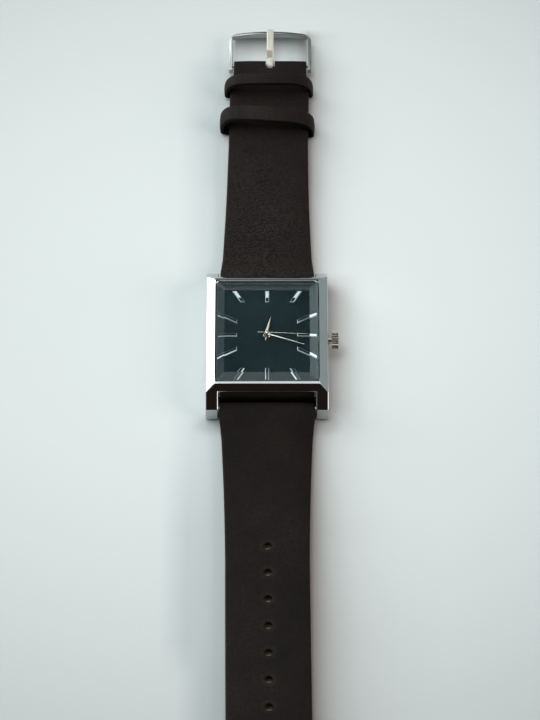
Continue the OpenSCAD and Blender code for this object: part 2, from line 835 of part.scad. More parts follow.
module crown() {
    pts = [for (i = [0 : knurl_n - 1], k = [0 : 3])
        let (r = crown_r - ((k == 0 || k == 3) ? knurl_d : 0),
            a = full_turn / knurl_n * (i + [0, 0.38, 0.56, 0.94][k]))
        r * [cos(a), sin(a)]];
    color(steel_col) difference() {
        union() {
            translate([crown_in, 0, crown_z]) rotate([0, quarter, 0])
                linear_extrude(crown_len - crown_dome) polygon(pts);
            translate([crown_out - crown_dome, 0, crown_z]) rotate([0, quarter, 0])
                cylinder(h = crown_dome, r1 = crown_r - knurl_d, r2 = crown_r - 3 * crown_dome, $fn = round_fn);
        }
        rod_x(crown_bore_r, crown_in - cut, crown_in + crown_bore_d, 0, crown_z);
        rod_x(stem_r, crown_in, stem_out, 0, crown_z);
    }
}

module crown_gasket() {
    ring_r = 0.15;
    color("black") translate([crown_in + crown_bore_d - ring_r - 0.1, 0, crown_z]) rotate([0, quarter, 0])
        rotate_extrude($fn = round_fn) translate([crown_bore_r - ring_r, 0]) circle(r = ring_r, $fn = round_fn);
}

module stem() {
    color(steel_col) difference() {
        rod_x(stem_r, stem_in, stem_out, 0, crown_z);
        difference() {
            rod_x(stem_r + cut, groove_in, groove_out, 0, crown_z);
            rod_x(groove_r, groove_in - cut, groove_out + cut, 0, crown_z);
        }
    }
}

module setting_slide() {
    color(steel_col) difference() {
        union() {
            block(slide_in, slide_out, slide_y0, slide_y1, slide_z0, slide_z1);
            block(fork_in, fork_out, -stem_r, slide_y0 + 0.1, crown_z - stem_r, slide_z1);
        }
        block(fork_in - cut, fork_out + cut, -stem_r - cut, fork_w * half, crown_z - fork_w * half,
            crown_z + fork_w * half);
    }
}

// hollow tube of a spring bar
module spring_bar(side) {
    color(steel_col) difference() {
        rod_x(bar_r, -bar_hl, bar_hl, side * bar_y, bar_z);
        rod_x(tip_r + run_fit, -bar_hl - cut, bar_hl + cut, side * bar_y, bar_z);
    }
}

// sprung tip of a spring bar; turn is 1 for the crown side
module bar_tip(turn, side) {
    color(steel_col) scale([turn, 1, 1]) union() {
        rod_x(tip_r, tip_in, tip_out, side * bar_y, bar_z);
        rod_x(collar_r, collar_in, collar_out, side * bar_y, bar_z);
    }
}

module spring_bar_upper() {
    spring_bar(1);
}

module spring_bar_lower() {
    spring_bar(-1);
}

module tip_upper_left() {
    bar_tip(-1, 1);
}

module tip_upper_right() {
    bar_tip(1, 1);
}

module tip_lower_left() {
    bar_tip(-1, -1);
}

module tip_lower_right() {
    bar_tip(1, -1);
}

// strap seen from the side between two distances and two height shares, X along the strap
module strap_side(s0, s1, lift, from_low, to_top) {
    n = ceil((s1 - s0) / strap_step);
    run = (s1 - s0) / n;
    up = [for (i = [0 : n]) let (s = s0 + run * i) [s, to_top ? low(s, lift) + thick(s) : low(s, lift) + lining_t]];
    down = [for (i = [n : -1 : 0]) let (s = s0 + run * i) [s, from_low ? low(s, lift) : low(s, lift) + lining_t]];
    polygon(concat(up, down));
}

// outline of a strap half seen from above, X along the strap
module strap_plan(len, tail) {
    n = ceil(len / strap_step) * (tail ? 2 : 1);
    run = len / n;
    hw = [for (i = [0 : n]) let (s = run * i) half * (tail ? wide(s) * tip_share(s) : wide(s) + narrow(s))];
    a = [for (i = [0 : n]) [run * i, hw[i] - sway(run * i, len)]];
    b = [for (i = [n : -1 : 0]) [run * i, -hw[i] - sway(run * i, len)]];
    polygon(concat(a, b));
}

// solid slice of a strap half, its spring bar at the origin, running along +Y
module strap_slice(len, tail, s0, s1, lift, from_low, to_top) {
    intersection() {
        rotate([quarter, 0, quarter]) translate([0, 0, -case_w]) linear_extrude(2 * case_w)
            strap_side(s0, s1, lift, from_low, to_top);
        rotate([0, 0, quarter]) translate([0, 0, -cut]) linear_extrude(case_top) strap_plan(len, tail);
    }
}

module strap_upper_leather() {
    e0 = upper_len - lining_end;
    color(leather_col) translate([0, bar_y, 0]) difference() {
        union() {
            strap_slice(upper_len, false, 0, lining_start, keeper_lift, true, true);
            strap_slice(upper_len, false, lining_start - eps, e0 + eps, keeper_lift, false, true);
            strap_slice(upper_len, false, e0, upper_len, keeper_lift, true, true);
            rod_x(strap_t_bar * half, -strap_w_lug * half, strap_w_lug * half, 0, bar_z);
            rod_x(loop_r, buckle_x - strap_w_buckle * half, buckle_x + strap_w_buckle * half, upper_len, buckle_z);
        }
        rod_x(bar_r + run_fit, -case_w, case_w, 0, bar_z);
        rod_x(pin_r + run_fit, -case_w, case_w, upper_len, buckle_z);
        block(buckle_x - slot_w * half, buckle_x + slot_w * half, upper_len - slot_back, upper_len + 2 * loop_r,
            -cut, case_top);
    }
}

module strap_upper_lining() {
    color("sienna") translate([0, bar_y, 0])
        strap_slice(upper_len, false, lining_start, upper_len - lining_end, keeper_lift, true, false);
}

// adjusting holes of the tail half
module strap_holes() {
    for (i = [0 : hole_n - 1])
        let (s = hole_first + i * hole_pitch)
        rod(hole_d * half, -cut, case_top, [sway(s, lower_len), s]);
}

module strap_lower_leather() {
    color(leather_col) mirror([0, 1, 0]) translate([0, bar_y, 0]) difference() {
        union() {
            strap_slice(lower_len, true, 0, lining_start, 0, true, true);
            strap_slice(lower_len, true, lining_start - eps, lower_len, 0, false, true);
            rod_x(strap_t_bar * half, -strap_w_lug * half, strap_w_lug * half, 0, bar_z);
        }
        rod_x(bar_r + run_fit, -case_w, case_w, 0, bar_z);
        strap_holes();
    }
}

module strap_lower_lining() {
    color("sienna") mirror([0, 1, 0]) translate([0, bar_y, 0]) difference() {
        strap_slice(lower_len, true, lining_start, lower_len, 0, true, false);
        strap_holes();
    }
}

// outline of a keeper seen along the strap; inset moves it inwards
module keeper_outline(hw, side, up, down, base) {
    pts = [for (i = [0 : keeper_steps - 1])
        let (a = full_turn * i / keeper_steps, c = spow(cos(a), keeper_sq), s = sin(a))
        [(hw - side) * c, s >= 0 ? keeper_mid + (keeper_top - up - keeper_mid) * s
            : keeper_mid - (keeper_mid - base - down) * pow(-s, keeper_low_sq)]];
    polygon(pts);
}

// closed leather loop between two places along the strap
module keeper(hw, y0, y1, base) {
    translate([0, y1, 0]) rotate([quarter, 0, 0]) linear_extrude(y1 - y0) difference() {
        keeper_outline(hw, 0, 0, 0, base);
        keeper_outline(hw, keeper_side_t, keeper_top_t, keeper_low_t, base);
    }
}

module keeper_fixed() {
    color(leather_col) difference() {
        translate([keeper_fixed_shift, 0, 0])
            keeper(keeper_fixed_hw, keeper_fixed_y, keeper_fixed_y + keeper_fixed_w, keeper_lift - keeper_low_t);
        translate([0, bar_y, 0]) strap_slice(upper_len, false, 0, upper_len, keeper_lift, true, true);
    }
}

module keeper_free() {
    color(leather_col) translate([keeper_free_shift, 0, 0])
        keeper(keeper_free_hw, keeper_free_y, keeper_free_y + keeper_free_w, 0);
}

module buckle_frame() {
    hw = buckle_w * half;
    y0 = buckle_y - frame_tail;
    y1 = buckle_y + buckle_reach;
    arch_r = (hw * hw + frame_arch * frame_arch) / (2 * frame_arch);
    arm_mid = hw - frame_arm * half;
    mid_r = sqrt(arm_mid * arm_mid + pow(buckle_z - arch_base(arch_r), 2));
    color(steel_col) translate([buckle_x, 0, 0]) difference() {
        intersection() {
            union() {
                block(-hw, hw, y0, y1 - frame_corner, 0, case_top);
                block(-hw + frame_corner, hw - frame_corner, y1 - cut - frame_corner, y1, 0, case_top);
                for (s = [-1, 1]) rod(frame_corner, 0, case_top, [s * (hw - frame_corner), y1 - frame_corner]);
            }
            translate([0, y1 + cut, arch_base(arch_r)]) rotate([quarter, 0, 0]) difference() {
                cylinder(h = y1 - y0 + 2 * cut, r = mid_r + frame_t * half, $fn = round_fn);
                translate([0, 0, -cut]) cylinder(h = y1 - y0 + 4 * cut, r = mid_r - frame_t * half, $fn = round_fn);
            }
        }
        block(-hw + frame_arm, hw - frame_arm, y0 - cut, y1 - frame_front, -cut, case_top);
        rod_x(pin_r, -hw - cut, hw + cut, buckle_y, buckle_z);
    }
}

// height of the centre of the buckle arch
function arch_base(r) = buckle_z + frame_arch * frame_side_share - r;

module buckle_bar() {
    bar_hw = buckle_w * half - bar_inset;
    color(steel_col) rod_x(pin_r, buckle_x - bar_hw, buckle_x + bar_hw, buckle_y, buckle_z);
}

module buckle_tongue() {
    rise_0 = 1.4;
    rise_1 = 3;
    rise_2 = 6;
    heel = 0.6;
    past = 0.2;
    rest_gap = 0.12;
    nose = 0.4;
    nose_low = 0.1;
    tip_y = buckle_y + buckle_reach + past;
    low_z = buckle_z + frame_arch * frame_side_share + frame_t * half + rest_gap;
    // height above the underside of the tongue, in shares of its thickness
    function up(share) = low_z + tongue_t * share;
    pts = [[buckle_y, buckle_z + tongue_eye_r], [buckle_y + rise_0, buckle_z + tongue_eye_r],
        [buckle_y + rise_1, up(0.8)], [buckle_y + rise_2, up(1)],
        [tip_y - nose, up(0.9)], [tip_y, up(half)], [tip_y - nose_low, low_z], [buckle_y + rise_2, low_z],
        [buckle_y + rise_1, up(-half)], [buckle_y + heel, buckle_z]];
    color(steel_col) difference() {
        union() {
            translate([buckle_x - tongue_w * half, 0, 0]) rotate([quarter, 0, quarter])
                linear_extrude(tongue_w) polygon(pts);
            rod_x(tongue_eye_r, buckle_x - tongue_w * half, buckle_x + tongue_w * half, buckle_y, buckle_z);
        }
        rod_x(pin_r + run_fit, -case_w, case_w, buckle_y, buckle_z);
    }
}

module bridge_screw_1() {
    bridge_screw(screw_at[0]);
}

module bridge_screw_2() {
    bridge_screw(screw_at[1]);
}

module bridge_screw_3() {
    bridge_screw(screw_at[2]);
}

case_body();
crystal();
crystal_gasket();
case_back();
back_gasket();
dial();
hour_markers();
movement_holder();
main_plate();
train_bridge();
bridge_screw_1();
bridge_screw_2();
bridge_screw_3();
circuit_board();
control_chip();
quartz_can();
battery();
battery_clip();
coil_core();
coil_winding();
stator();
rotor();
intermediate_wheel();
second_wheel();
third_wheel();
centre_wheel();
minute_wheel();
hour_wheel();
hour_hand();
minute_hand();
second_hand();
crown_tube();
crown();
crown_gasket();
stem();
setting_slide();
spring_bar_upper();
spring_bar_lower();
tip_upper_left();
tip_upper_right();
tip_lower_left();
tip_lower_right();
strap_upper_leather();
strap_upper_lining();
strap_lower_leather();
strap_lower_lining();
keeper_fixed();
keeper_free();
buckle_frame();
buckle_bar();
buckle_tongue();
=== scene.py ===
import json
import math

import bmesh
import bpy
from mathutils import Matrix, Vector, noise


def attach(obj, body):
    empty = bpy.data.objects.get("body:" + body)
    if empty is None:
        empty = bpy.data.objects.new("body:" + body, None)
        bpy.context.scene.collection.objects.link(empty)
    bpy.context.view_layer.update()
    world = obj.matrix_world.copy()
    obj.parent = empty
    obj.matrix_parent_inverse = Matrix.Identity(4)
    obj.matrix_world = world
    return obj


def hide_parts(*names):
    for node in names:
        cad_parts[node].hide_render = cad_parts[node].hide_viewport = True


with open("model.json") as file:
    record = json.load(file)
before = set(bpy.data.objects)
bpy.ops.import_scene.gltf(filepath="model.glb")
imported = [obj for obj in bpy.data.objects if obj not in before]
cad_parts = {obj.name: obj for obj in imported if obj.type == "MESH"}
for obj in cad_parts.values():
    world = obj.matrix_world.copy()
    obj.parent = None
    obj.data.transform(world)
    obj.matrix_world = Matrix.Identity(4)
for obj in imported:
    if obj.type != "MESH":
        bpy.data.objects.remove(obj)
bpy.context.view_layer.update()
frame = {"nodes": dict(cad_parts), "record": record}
MM = 0.001

# Camera
LOOK_AT = Vector((0.66, -7.3, 6.0)) * MM
CAM_ELEVATION = math.radians(51.0)
CAM_AZIMUTH = math.radians(0.0)
CAM_DISTANCE = 1157 * MM
LENS, SENSOR = 253.0, 36.0
CLIP_NEAR, CLIP_FAR = 0.05, 20
cam_data = bpy.data.cameras.new("camera")
cam_data.lens = LENS
cam_data.sensor_width = SENSOR
cam_data.clip_start = CLIP_NEAR
cam_data.clip_end = CLIP_FAR
cam = bpy.data.objects.new("camera", cam_data)
bpy.context.scene.collection.objects.link(cam)
toward = Vector((-math.sin(CAM_AZIMUTH) * math.cos(CAM_ELEVATION),
                 -math.cos(CAM_AZIMUTH) * math.cos(CAM_ELEVATION), math.sin(CAM_ELEVATION)))
cam.location = LOOK_AT + toward * CAM_DISTANCE
cam.rotation_euler = (-toward).to_track_quat("-Z", "Y").to_euler()
bpy.context.scene.camera = cam


# Node helpers
def linear(rgb):
    """Eight-bit screen colour to linear."""
    out = []
    for v in rgb:
        c = v / 255
        out.append(c / 12.92 if c <= 0.04045 else ((c + 0.055) / 1.055) ** 2.4)
    return (*out, 1.0)


def shade(rgb, k):
    """An eight-bit screen colour to linear, scaled."""
    c = linear(rgb)
    return (c[0] * k, c[1] * k, c[2] * k, 1.0)


# sockets of the colour mix node
MIX_A, MIX_B, MIX_RESULT = 6, 7, 2


class Net:
    """A small wrapper round one material's node tree."""

    def __init__(self, name):
        self.mat = bpy.data.materials.new(name)
        self.mat.use_nodes = True
        self.nt = self.mat.node_tree
        self.bsdf = self.nt.nodes["Principled BSDF"]
        self.out = self.nt.nodes["Material Output"]
        self.coord = self.nt.nodes.new("ShaderNodeTexCoord").outputs["Object"]

    def new(self, kind, **values):
        node = self.nt.nodes.new(kind)
        for key, value in values.items():
            setattr(node, key, value)
        return node

    def link(self, a, b):
        self.nt.links.new(a, b)

    def set(self, **sockets):
        for key, value in sockets.items():
            self.bsdf.inputs[key.replace("_", " ")].default_value = value

    def noise(self, scale, detail=4.0, rough=0.55, vector=None):
        n = self.new("ShaderNodeTexNoise")
        n.inputs["Scale"].default_value = scale
        n.inputs["Detail"].default_value = detail
        n.inputs["Roughness"].default_value = rough
        self.link(vector or self.coord, n.inputs["Vector"])
        return n.outputs["Fac"]

    def voronoi(self, scale, feature="F1", vector=None):
        n = self.new("ShaderNodeTexVoronoi", feature=feature)
        n.inputs["Scale"].default_value = scale
        self.link(vector or self.coord, n.inputs["Vector"])
        return n.outputs["Distance"]

    def stretch(self, scale):
        n = self.new("ShaderNodeMapping")
        n.inputs["Scale"].default_value = scale
        self.link(self.coord, n.inputs["Vector"])
        return n.outputs["Vector"]

    def ramp(self, fac, stops):
        n = self.new("ShaderNodeValToRGB")
        els = n.color_ramp.elements
        while len(els) < len(stops):
            els.new(0.5)
        for e, (pos, col) in zip(els, stops):
            e.position = pos
            e.color = col if len(col) == 4 else (*col, 1.0)
        self.link(fac, n.inputs["Fac"])
        return n.outputs["Color"]

    def tone(self, fac, stops):
        """A ramp whose colours may be brighter than one."""
        top = max(max(col[:3]) for _, col in stops)
        n = self.new("ShaderNodeVectorMath", operation="SCALE")
        dimmed = [(pos, tuple(c / top for c in col[:3])) for pos, col in stops]
        self.link(self.ramp(fac, dimmed), n.inputs[0])
        n.inputs["Scale"].default_value = top
        return n.outputs["Vector"]

    def axis(self, name):
        n = self.new("ShaderNodeSeparateXYZ")
        self.link(self.coord, n.inputs["Vector"])
        return n.outputs[name]

    def math(self, op, a, b=0.0):
        n = self.new("ShaderNodeMath", operation=op)
        for i, v in enumerate((a, b)):
            if isinstance(v, (int, float)):
                n.inputs[i].default_value = v
            else:
                self.link(v, n.inputs[i])
        return n.outputs[0]

    def span(self, fac, low, high, to_low, to_high):
        n = self.new("ShaderNodeMapRange")
        for key, v in (("From Min", low), ("From Max", high), ("To Min", to_low), ("To Max", to_high)):
            n.inputs[key].default_value = v
        self.link(fac, n.inputs["Value"])
        return n.outputs["Result"]

    def multiply(self, a, b):
        n = self.new("ShaderNodeMix", data_type="RGBA", blend_type="MULTIPLY")
        n.inputs["Factor"].default_value = 1.0
        self.link(a, n.inputs[MIX_A])
        self.link(b, n.inputs[MIX_B])
        return n.outputs[MIX_RESULT]

    def between(self, fac, color):
        """White where the factor is nought, the colour where it is one."""
        n = self.new("ShaderNodeMix", data_type="RGBA")
        self.link(fac, n.inputs["Factor"])
        n.inputs[MIX_A].default_value = (1, 1, 1, 1)
        self.link(color, n.inputs[MIX_B])
        return n.outputs[MIX_RESULT]

    def blend(self, fac, a, b):
        """The first colour where the factor is nought, the second where it is one."""
        n = self.new("ShaderNodeMix", data_type="RGBA")
        self.link(fac, n.inputs["Factor"])
        self.link(a, n.inputs[MIX_A])
        self.link(b, n.inputs[MIX_B])
        return n.outputs[MIX_RESULT]

    def distance(self, x, y, wide, long):
        """Distance from a point of the plane, in shares of an ellipse's half sizes."""
        n = self.new("ShaderNodeMapping", vector_type="TEXTURE")
        n.inputs["Location"].default_value = (x * MM, y * MM, 0)
        n.inputs["Scale"].default_value = (wide * MM, long * MM, 1)
        self.link(self.coord, n.inputs["Vector"])
        far = self.new("ShaderNodeVectorMath", operation="LENGTH")
        self.link(n.outputs["Vector"], far.inputs[0])
        return far.outputs["Value"]

    def bump(self, height, distance, strength=1.0, normal=None):
        n = self.new("ShaderNodeBump")
        n.inputs["Strength"].default_value = strength
        n.inputs["Distance"].default_value = distance
        self.link(height, n.inputs["Height"])
        if normal is not None:
            self.link(normal, n.inputs["Normal"])
        return n.outputs["Normal"]

    def finish(self, color, rough=None, normal=None):
        self.link(color, self.bsdf.inputs["Base Color"])
        if rough is not None:
            self.link(rough, self.bsdf.inputs["Roughness"])
        if normal is not None:
            self.link(normal, self.bsdf.inputs["Normal"])
        return self.mat


# Strap sizes that the leather's material shares with its shape
BAR_Y, SWAY, LOWER_LEN = 18.8, 0.7, 110.0
HOLE_FIRST, HOLE_PITCH, HOLE_COUNT, HOLE_R = 38.5, 7.3, 8, 1.0
HOLES = [HOLE_FIRST + HOLE_PITCH * i for i in range(HOLE_COUNT)]


# Materials
def metal(name, rgb, rough, spread=0.04, scratch=0.0, stretch=(1, 1, 1), grain=0.0, wave=0.0, metallic=1.0):
    """Metal of slightly uneven tone; wave, scratch and grain are depths, and stretch aligns the grain."""
    n = Net(name)
    n.set(Metallic=metallic)
    color = n.ramp(n.noise(180, detail=5), [(0.25, shade(rgb, 0.94)), (0.75, shade(rgb, 1.04))])
    uneven = n.noise(900, detail=6, rough=0.65)
    r = n.span(uneven, 0.3, 0.7, max(0.01, rough - spread), rough + spread)
    normal = None
    if wave:
        normal = n.bump(n.noise(110, detail=2, rough=0.4), wave * MM)
    if scratch:
        lines = n.noise(1.0, detail=3, rough=0.6, vector=n.stretch((260, 9000, 700)))
        normal = n.bump(lines, scratch * MM, 0.25, normal)
    if grain:
        brushed = n.noise(4000, detail=3, rough=0.6, vector=n.stretch(stretch))
        normal = n.bump(brushed, grain * MM, 0.5, normal)
    return n.finish(color, r, normal)


# painted highlight round a hole, by distance in shares of the reach; the rings end half a pitch past the
# outer holes
RING_REACH, RING_MARGIN = 3.0, 0.45
RING_HIGHLIGHT = [(0.3, (3.4, 3.0, 2.3)), (0.4, (0.9, 0.9, 0.9)), (0.5, (1.9, 1.75, 1.5)),
             (0.63, (1.0, 1.0, 1.0))]


def painted_hole_highlights(n):
    """Painted highlights: lighter rings round the holes of the tail."""
    s = n.math("SUBTRACT", n.math("MULTIPLY", n.axis("Y"), -1 / MM), BAR_Y)
    sway = n.math("MULTIPLY", n.math("POWER", n.math("DIVIDE", s, LOWER_LEN), 2.0), SWAY)
    across = n.math("SUBTRACT", n.math("MULTIPLY", n.axis("X"), 1 / MM), sway)
    turn = n.math("DIVIDE", n.math("SUBTRACT", s, HOLE_FIRST), HOLE_PITCH)
    along = n.math("MULTIPLY", n.math("PINGPONG", turn, 0.5), HOLE_PITCH)
    r = n.math("SQRT", n.math("ADD", n.math("POWER", across, 2.0), n.math("POWER", along, 2.0)))
    ring = n.tone(n.math("DIVIDE", r, RING_REACH), RING_HIGHLIGHT)
    inside = n.math("MULTIPLY", n.math("GREATER_THAN", turn, -RING_MARGIN),
                    n.math("LESS_THAN", turn, HOLE_COUNT - 1 + RING_MARGIN))
    return n.between(inside, ring)


# painted light and shade on the leather: darker where the lower half meets the case and lighter near the
# case on the upper half, and across the strap and its keepers lit at the left and shaded at the right
ALONG_FROM, ALONG_TO = -130, 100
PAINTED_LIGHT_ALONG = [(0.0, (0.93, 0.95, 1.0)), (0.35, (0.93, 0.93, 0.95)), (0.48, (0.78, 0.74, 0.7)),
         (0.62, (1.76, 1.86, 1.9)), (0.78, (1.34, 1.38, 1.42)), (0.9, (1.0, 1.0, 1.0))]
ACROSS_REACH = 10
PAINTED_LIGHT_ACROSS = [(0.0, (1.08, 1.1, 1.1)), (0.6, (1.0, 1.0, 1.0)), (1.0, (0.8, 0.74, 0.72))]
PAINTED_LIGHT_ACROSS_KEEPER = [(0.0, (1.2, 1.26, 1.32)), (0.3, (1.5, 1.6, 1.7)), (0.6, (1.0, 1.0, 1.0)),
                 (1.0, (0.72, 0.62, 0.58))]
# swelling near the lugs: middle, half width and half length, and the painted light and shade of its edge
SWELLING = (0.9, 26.4, 1.6, 3.1)
SWELLING_LIGHT_AND_SHADE = [(0.55, (1.0, 1.0, 1.0)), (0.78, (1.3, 1.3, 1.3)), (0.9, (0.65, 0.57, 0.55)),
                 (1.0, (1.0, 1.0, 1.0))]
SWELLING_RISE = 0.8
# where the grain's tone is strongest, partly real grain and partly painted glints on the pebbles near the
# case: middle, half width and half length
GRAIN_AND_GLINTS = (-3, 24, 17, 42)
DARK_LEATHER, BROWN_LEATHER = (28, 23, 21), (92, 68, 52)


def hide(name, rgb, dark=0.45, rough=0.58, cells=1700, depth=0.05, sheen=0.0, pebble=0.9, across=PAINTED_LIGHT_ACROSS,
         swelling_and_painted_light=True):
    """Leather of small cells with painted highlights round the holes; the outer leather also has the
    swelling, and painted light and shade on the swelling's edge, along the watch and across the strap.
    """
    n = Net(name)
    n.set(Specular_IOR_Level=0.09, Sheen_Weight=sheen, Sheen_Roughness=0.55)
    clouds = n.noise(70, detail=6, rough=0.6)
    fine = n.noise(1400, detail=5, rough=0.6)
    tone = n.math("ADD", n.math("MULTIPLY", clouds, 0.6), n.math("MULTIPLY", fine, 0.4))
    cell = n.voronoi(cells, vector=n.stretch((1.0, 1.25, 1.0)))
    # grain tone, raised near the case into painted glints
    grain = n.span(n.distance(*GRAIN_AND_GLINTS), 0.3, 1.0, pebble, pebble * 0.25)
    tone = n.math("ADD", tone, n.math("MULTIPLY", n.math("SUBTRACT", 0.4, cell), grain))
    color = n.ramp(tone, [(0.2, shade(rgb, dark)), (0.52, shade(rgb, 1.0)), (0.84, shade(rgb, 2.2))])
    # painted highlights round the holes
    color = n.multiply(color, painted_hole_highlights(n))
    normal = None
    # only the outer leather has the swelling and the painted light and shade
    if swelling_and_painted_light:
        # painted light and shade on the left edge of the swelling: a lit band, then a shaded band
        edge = n.tone(n.distance(*SWELLING), SWELLING_LIGHT_AND_SHADE)
        left = n.span(n.axis("X"), -0.4 * MM, 0.6 * MM, 1.0, 0.0)
        # painted light and shade: lighter and darker along the watch, and lit at the left and shaded at the
        # right across the strap
        along = n.span(n.axis("Y"), ALONG_FROM * MM, ALONG_TO * MM, 0.0, 1.0)
        side = n.span(n.axis("X"), -ACROSS_REACH * MM, ACROSS_REACH * MM, 0.0, 1.0)
        color = n.multiply(color, n.between(left, edge))
        color = n.multiply(color, n.tone(along, PAINTED_LIGHT_ALONG))
        color = n.multiply(color, n.tone(side, across))
        # crisp on its left side
        swelling = n.math("MULTIPLY", n.span(n.distance(*SWELLING), 1.15, 0.8, 0.0, 1.0),
                          n.span(n.axis("X"), -0.6 * MM, 2.2 * MM, 1.0, 0.0))
        normal = n.bump(swelling, SWELLING_RISE * MM)
    relief = ((cell, 0.75), (n.voronoi(cells * 0.45, "SMOOTH_F1"), 0.6),
              (n.noise(500, detail=2, rough=0.5), 0.5), (n.noise(5200, detail=3, rough=0.6), 0.25))
    height = None
    for layer, share in relief:
        part = n.math("MULTIPLY", layer, share)
        height = part if height is None else n.math("ADD", height, part)
    normal = n.bump(height, depth * MM, 0.75, normal)
    r = n.span(n.math("ADD", cell, clouds), 0.3, 1.5, rough + 0.07, rough - 0.08)
    return n.finish(color, r, normal)


def plastic(name, rgb, rough, bump=0.01, scale=1500):
    n = Net(name)
    n.set(Specular_IOR_Level=0.45)
    color = n.ramp(n.noise(scale * 0.2), [(0.3, shade(rgb, 0.9)), (0.7, shade(rgb, 1.06))])
    r = n.span(n.noise(scale, detail=5), 0.3, 0.7, rough - 0.06, rough + 0.06)
    return n.finish(color, r, n.bump(n.noise(scale * 2), bump * MM, 0.4))


def dial_lacquer(name):
    """Dark lacquer with fine rays, and a painted highlight that makes it lighter towards its top left
    corner.
    """
    n = Net(name)
    n.set(Specular_IOR_Level=0.05)
    rays = n.noise(1.0, rough=0.6, vector=n.stretch((2600, 60, 60)))
    tone = n.math("ADD", n.math("MULTIPLY", rays, 0.45), n.math("MULTIPLY", n.noise(90, detail=3), 0.55))
    color = n.ramp(tone, [(0.3, shade((22, 35, 37), 0.97)), (0.7, shade((28, 42, 44), 0.97))])
    # painted highlight towards the top left corner
    painted_highlight = [(0.0, (1.5, 1.35, 1.3)), (1.0, (1.0, 0.98, 0.98))]
    color = n.multiply(color, n.tone(n.distance(-11, 13, 19, 19), painted_highlight))
    return n.finish(color, n.span(rays, 0.3, 0.7, 0.42, 0.54), n.bump(rays, 0.002 * MM, 0.4))


# share of milky light on the glass where it slants, and how level its faces are from there to clear glass
BEVEL_MILK, SLANTED, LEVEL = 0.006, 0.94, 0.985


def glass(name):
    """Clear glass that lets light through to the dial and is faintly milky on its bevels."""
    n = Net(name)
    n.set(Transmission_Weight=1.0, IOR=1.46, Roughness=0.0)
    n.bsdf.inputs["Base Color"].default_value = (0.93, 0.985, 1.0, 1.0)
    n.link(n.span(n.noise(45, rough=0.6), 0.45, 0.8, 0.0, 0.02), n.bsdf.inputs["Roughness"])
    ground = n.new("ShaderNodeBsdfDiffuse")
    ground.inputs["Color"].default_value = (0.5, 0.8, 0.84, 1.0)
    facing = n.new("ShaderNodeSeparateXYZ")
    n.link(n.new("ShaderNodeNewGeometry").outputs["True Normal"], facing.inputs["Vector"])
    slant = n.span(n.math("ABSOLUTE", facing.outputs["Z"]), SLANTED, LEVEL, BEVEL_MILK, 0.0)
    milky = n.new("ShaderNodeMixShader")
    n.link(slant, milky.inputs["Fac"])
    n.link(n.bsdf.outputs["BSDF"], milky.inputs[1])
    n.link(ground.outputs["BSDF"], milky.inputs[2])
    clear = n.new("ShaderNodeBsdfTransparent")
    clear.inputs["Color"].default_value = (0.96, 0.98, 0.98, 1.0)
    mix = n.new("ShaderNodeMixShader")
    path = n.new("ShaderNodeLightPath")
    n.link(path.outputs["Is Shadow Ray"], mix.inputs["Fac"])
    n.link(milky.outputs["Shader"], mix.inputs[1])
    n.link(clear.outputs["BSDF"], mix.inputs[2])
    n.link(mix.outputs["Shader"], n.out.inputs["Surface"])
    return n.mat


METALS = {
    "polished_chrome": dict(rgb=(204, 207, 208), rough=0.05, spread=0.02, scratch=0.0008, wave=0.02),
    "satin_steel": dict(rgb=(190, 190, 186), rough=0.30, spread=0.06, grain=0.004, stretch=(0.05, 1, 1)),
    "marker_silver": dict(rgb=(214, 222, 228), rough=0.06, spread=0.02),
    "hand_silver": dict(rgb=(224, 216, 202), rough=0.10, spread=0.03),
    "hour_silver": dict(rgb=(192, 186, 175), rough=0.12, spread=0.03),
    "minute_silver": dict(rgb=(142, 138, 130), rough=0.14, spread=0.03),
    "crown_steel": dict(rgb=(196, 189, 177), rough=0.26),
    "buckle_steel": dict(rgb=(163, 166, 162), rough=0.2, spread=0.03),
    "tongue_steel": dict(rgb=(212, 209, 198), rough=0.5, spread=0.05, metallic=0.45),
    "marker_edge": dict(rgb=(240, 246, 248), rough=0.42, spread=0.05),
    "movement_brass": dict(rgb=(205, 190, 150), rough=0.32, spread=0.06, grain=0.003, stretch=(1, 0.05, 1)),
    "gear_brass": dict(rgb=(212, 176, 98), rough=0.25, spread=0.05),
    "can_steel": dict(rgb=(198, 198, 196), rough=0.24, spread=0.05, grain=0.002, stretch=(1, 0.05, 1)),
    "magnet_dark": dict(rgb=(88, 88, 92), rough=0.42, spread=0.06, grain=0.003),
    "coil_copper": dict(rgb=(176, 98, 52), rough=0.3, spread=0.05, grain=0.03, stretch=(1, 0.02, 0.02))}
PLASTICS = {
    "seal_rubber": dict(rgb=(26, 26, 26), rough=0.7),
    "holder_plastic": dict(rgb=(222, 219, 208), rough=0.5),
    "wheel_plastic": dict(rgb=(236, 236, 228), rough=0.42),
    "board_green": dict(rgb=(30, 92, 54), rough=0.36),
    "chip_black": dict(rgb=(22, 22, 23), rough=0.55),
    "edge_paint": dict(rgb=(28, 24, 23), rough=0.5, bump=0.03, scale=700)}
HIDES = {
    "strap_leather": dict(rgb=DARK_LEATHER),
    # the keepers take their own painted light and shade across them
    "keeper_leather": dict(rgb=DARK_LEATHER, across=PAINTED_LIGHT_ACROSS_KEEPER),
    "lining_leather": dict(rgb=BROWN_LEATHER, dark=0.8, rough=0.68, cells=1500, depth=0.03, sheen=0.15,
                           pebble=0.3, swelling_and_painted_light=False)}
M = {"dial_lacquer": dial_lacquer("dial_lacquer"), "crystal_glass": glass("crystal_glass")}
for recipe, looks in ((metal, METALS), (plastic, PLASTICS), (hide, HIDES)):
    for look, values in looks.items():
        M[look] = recipe(look, **values)

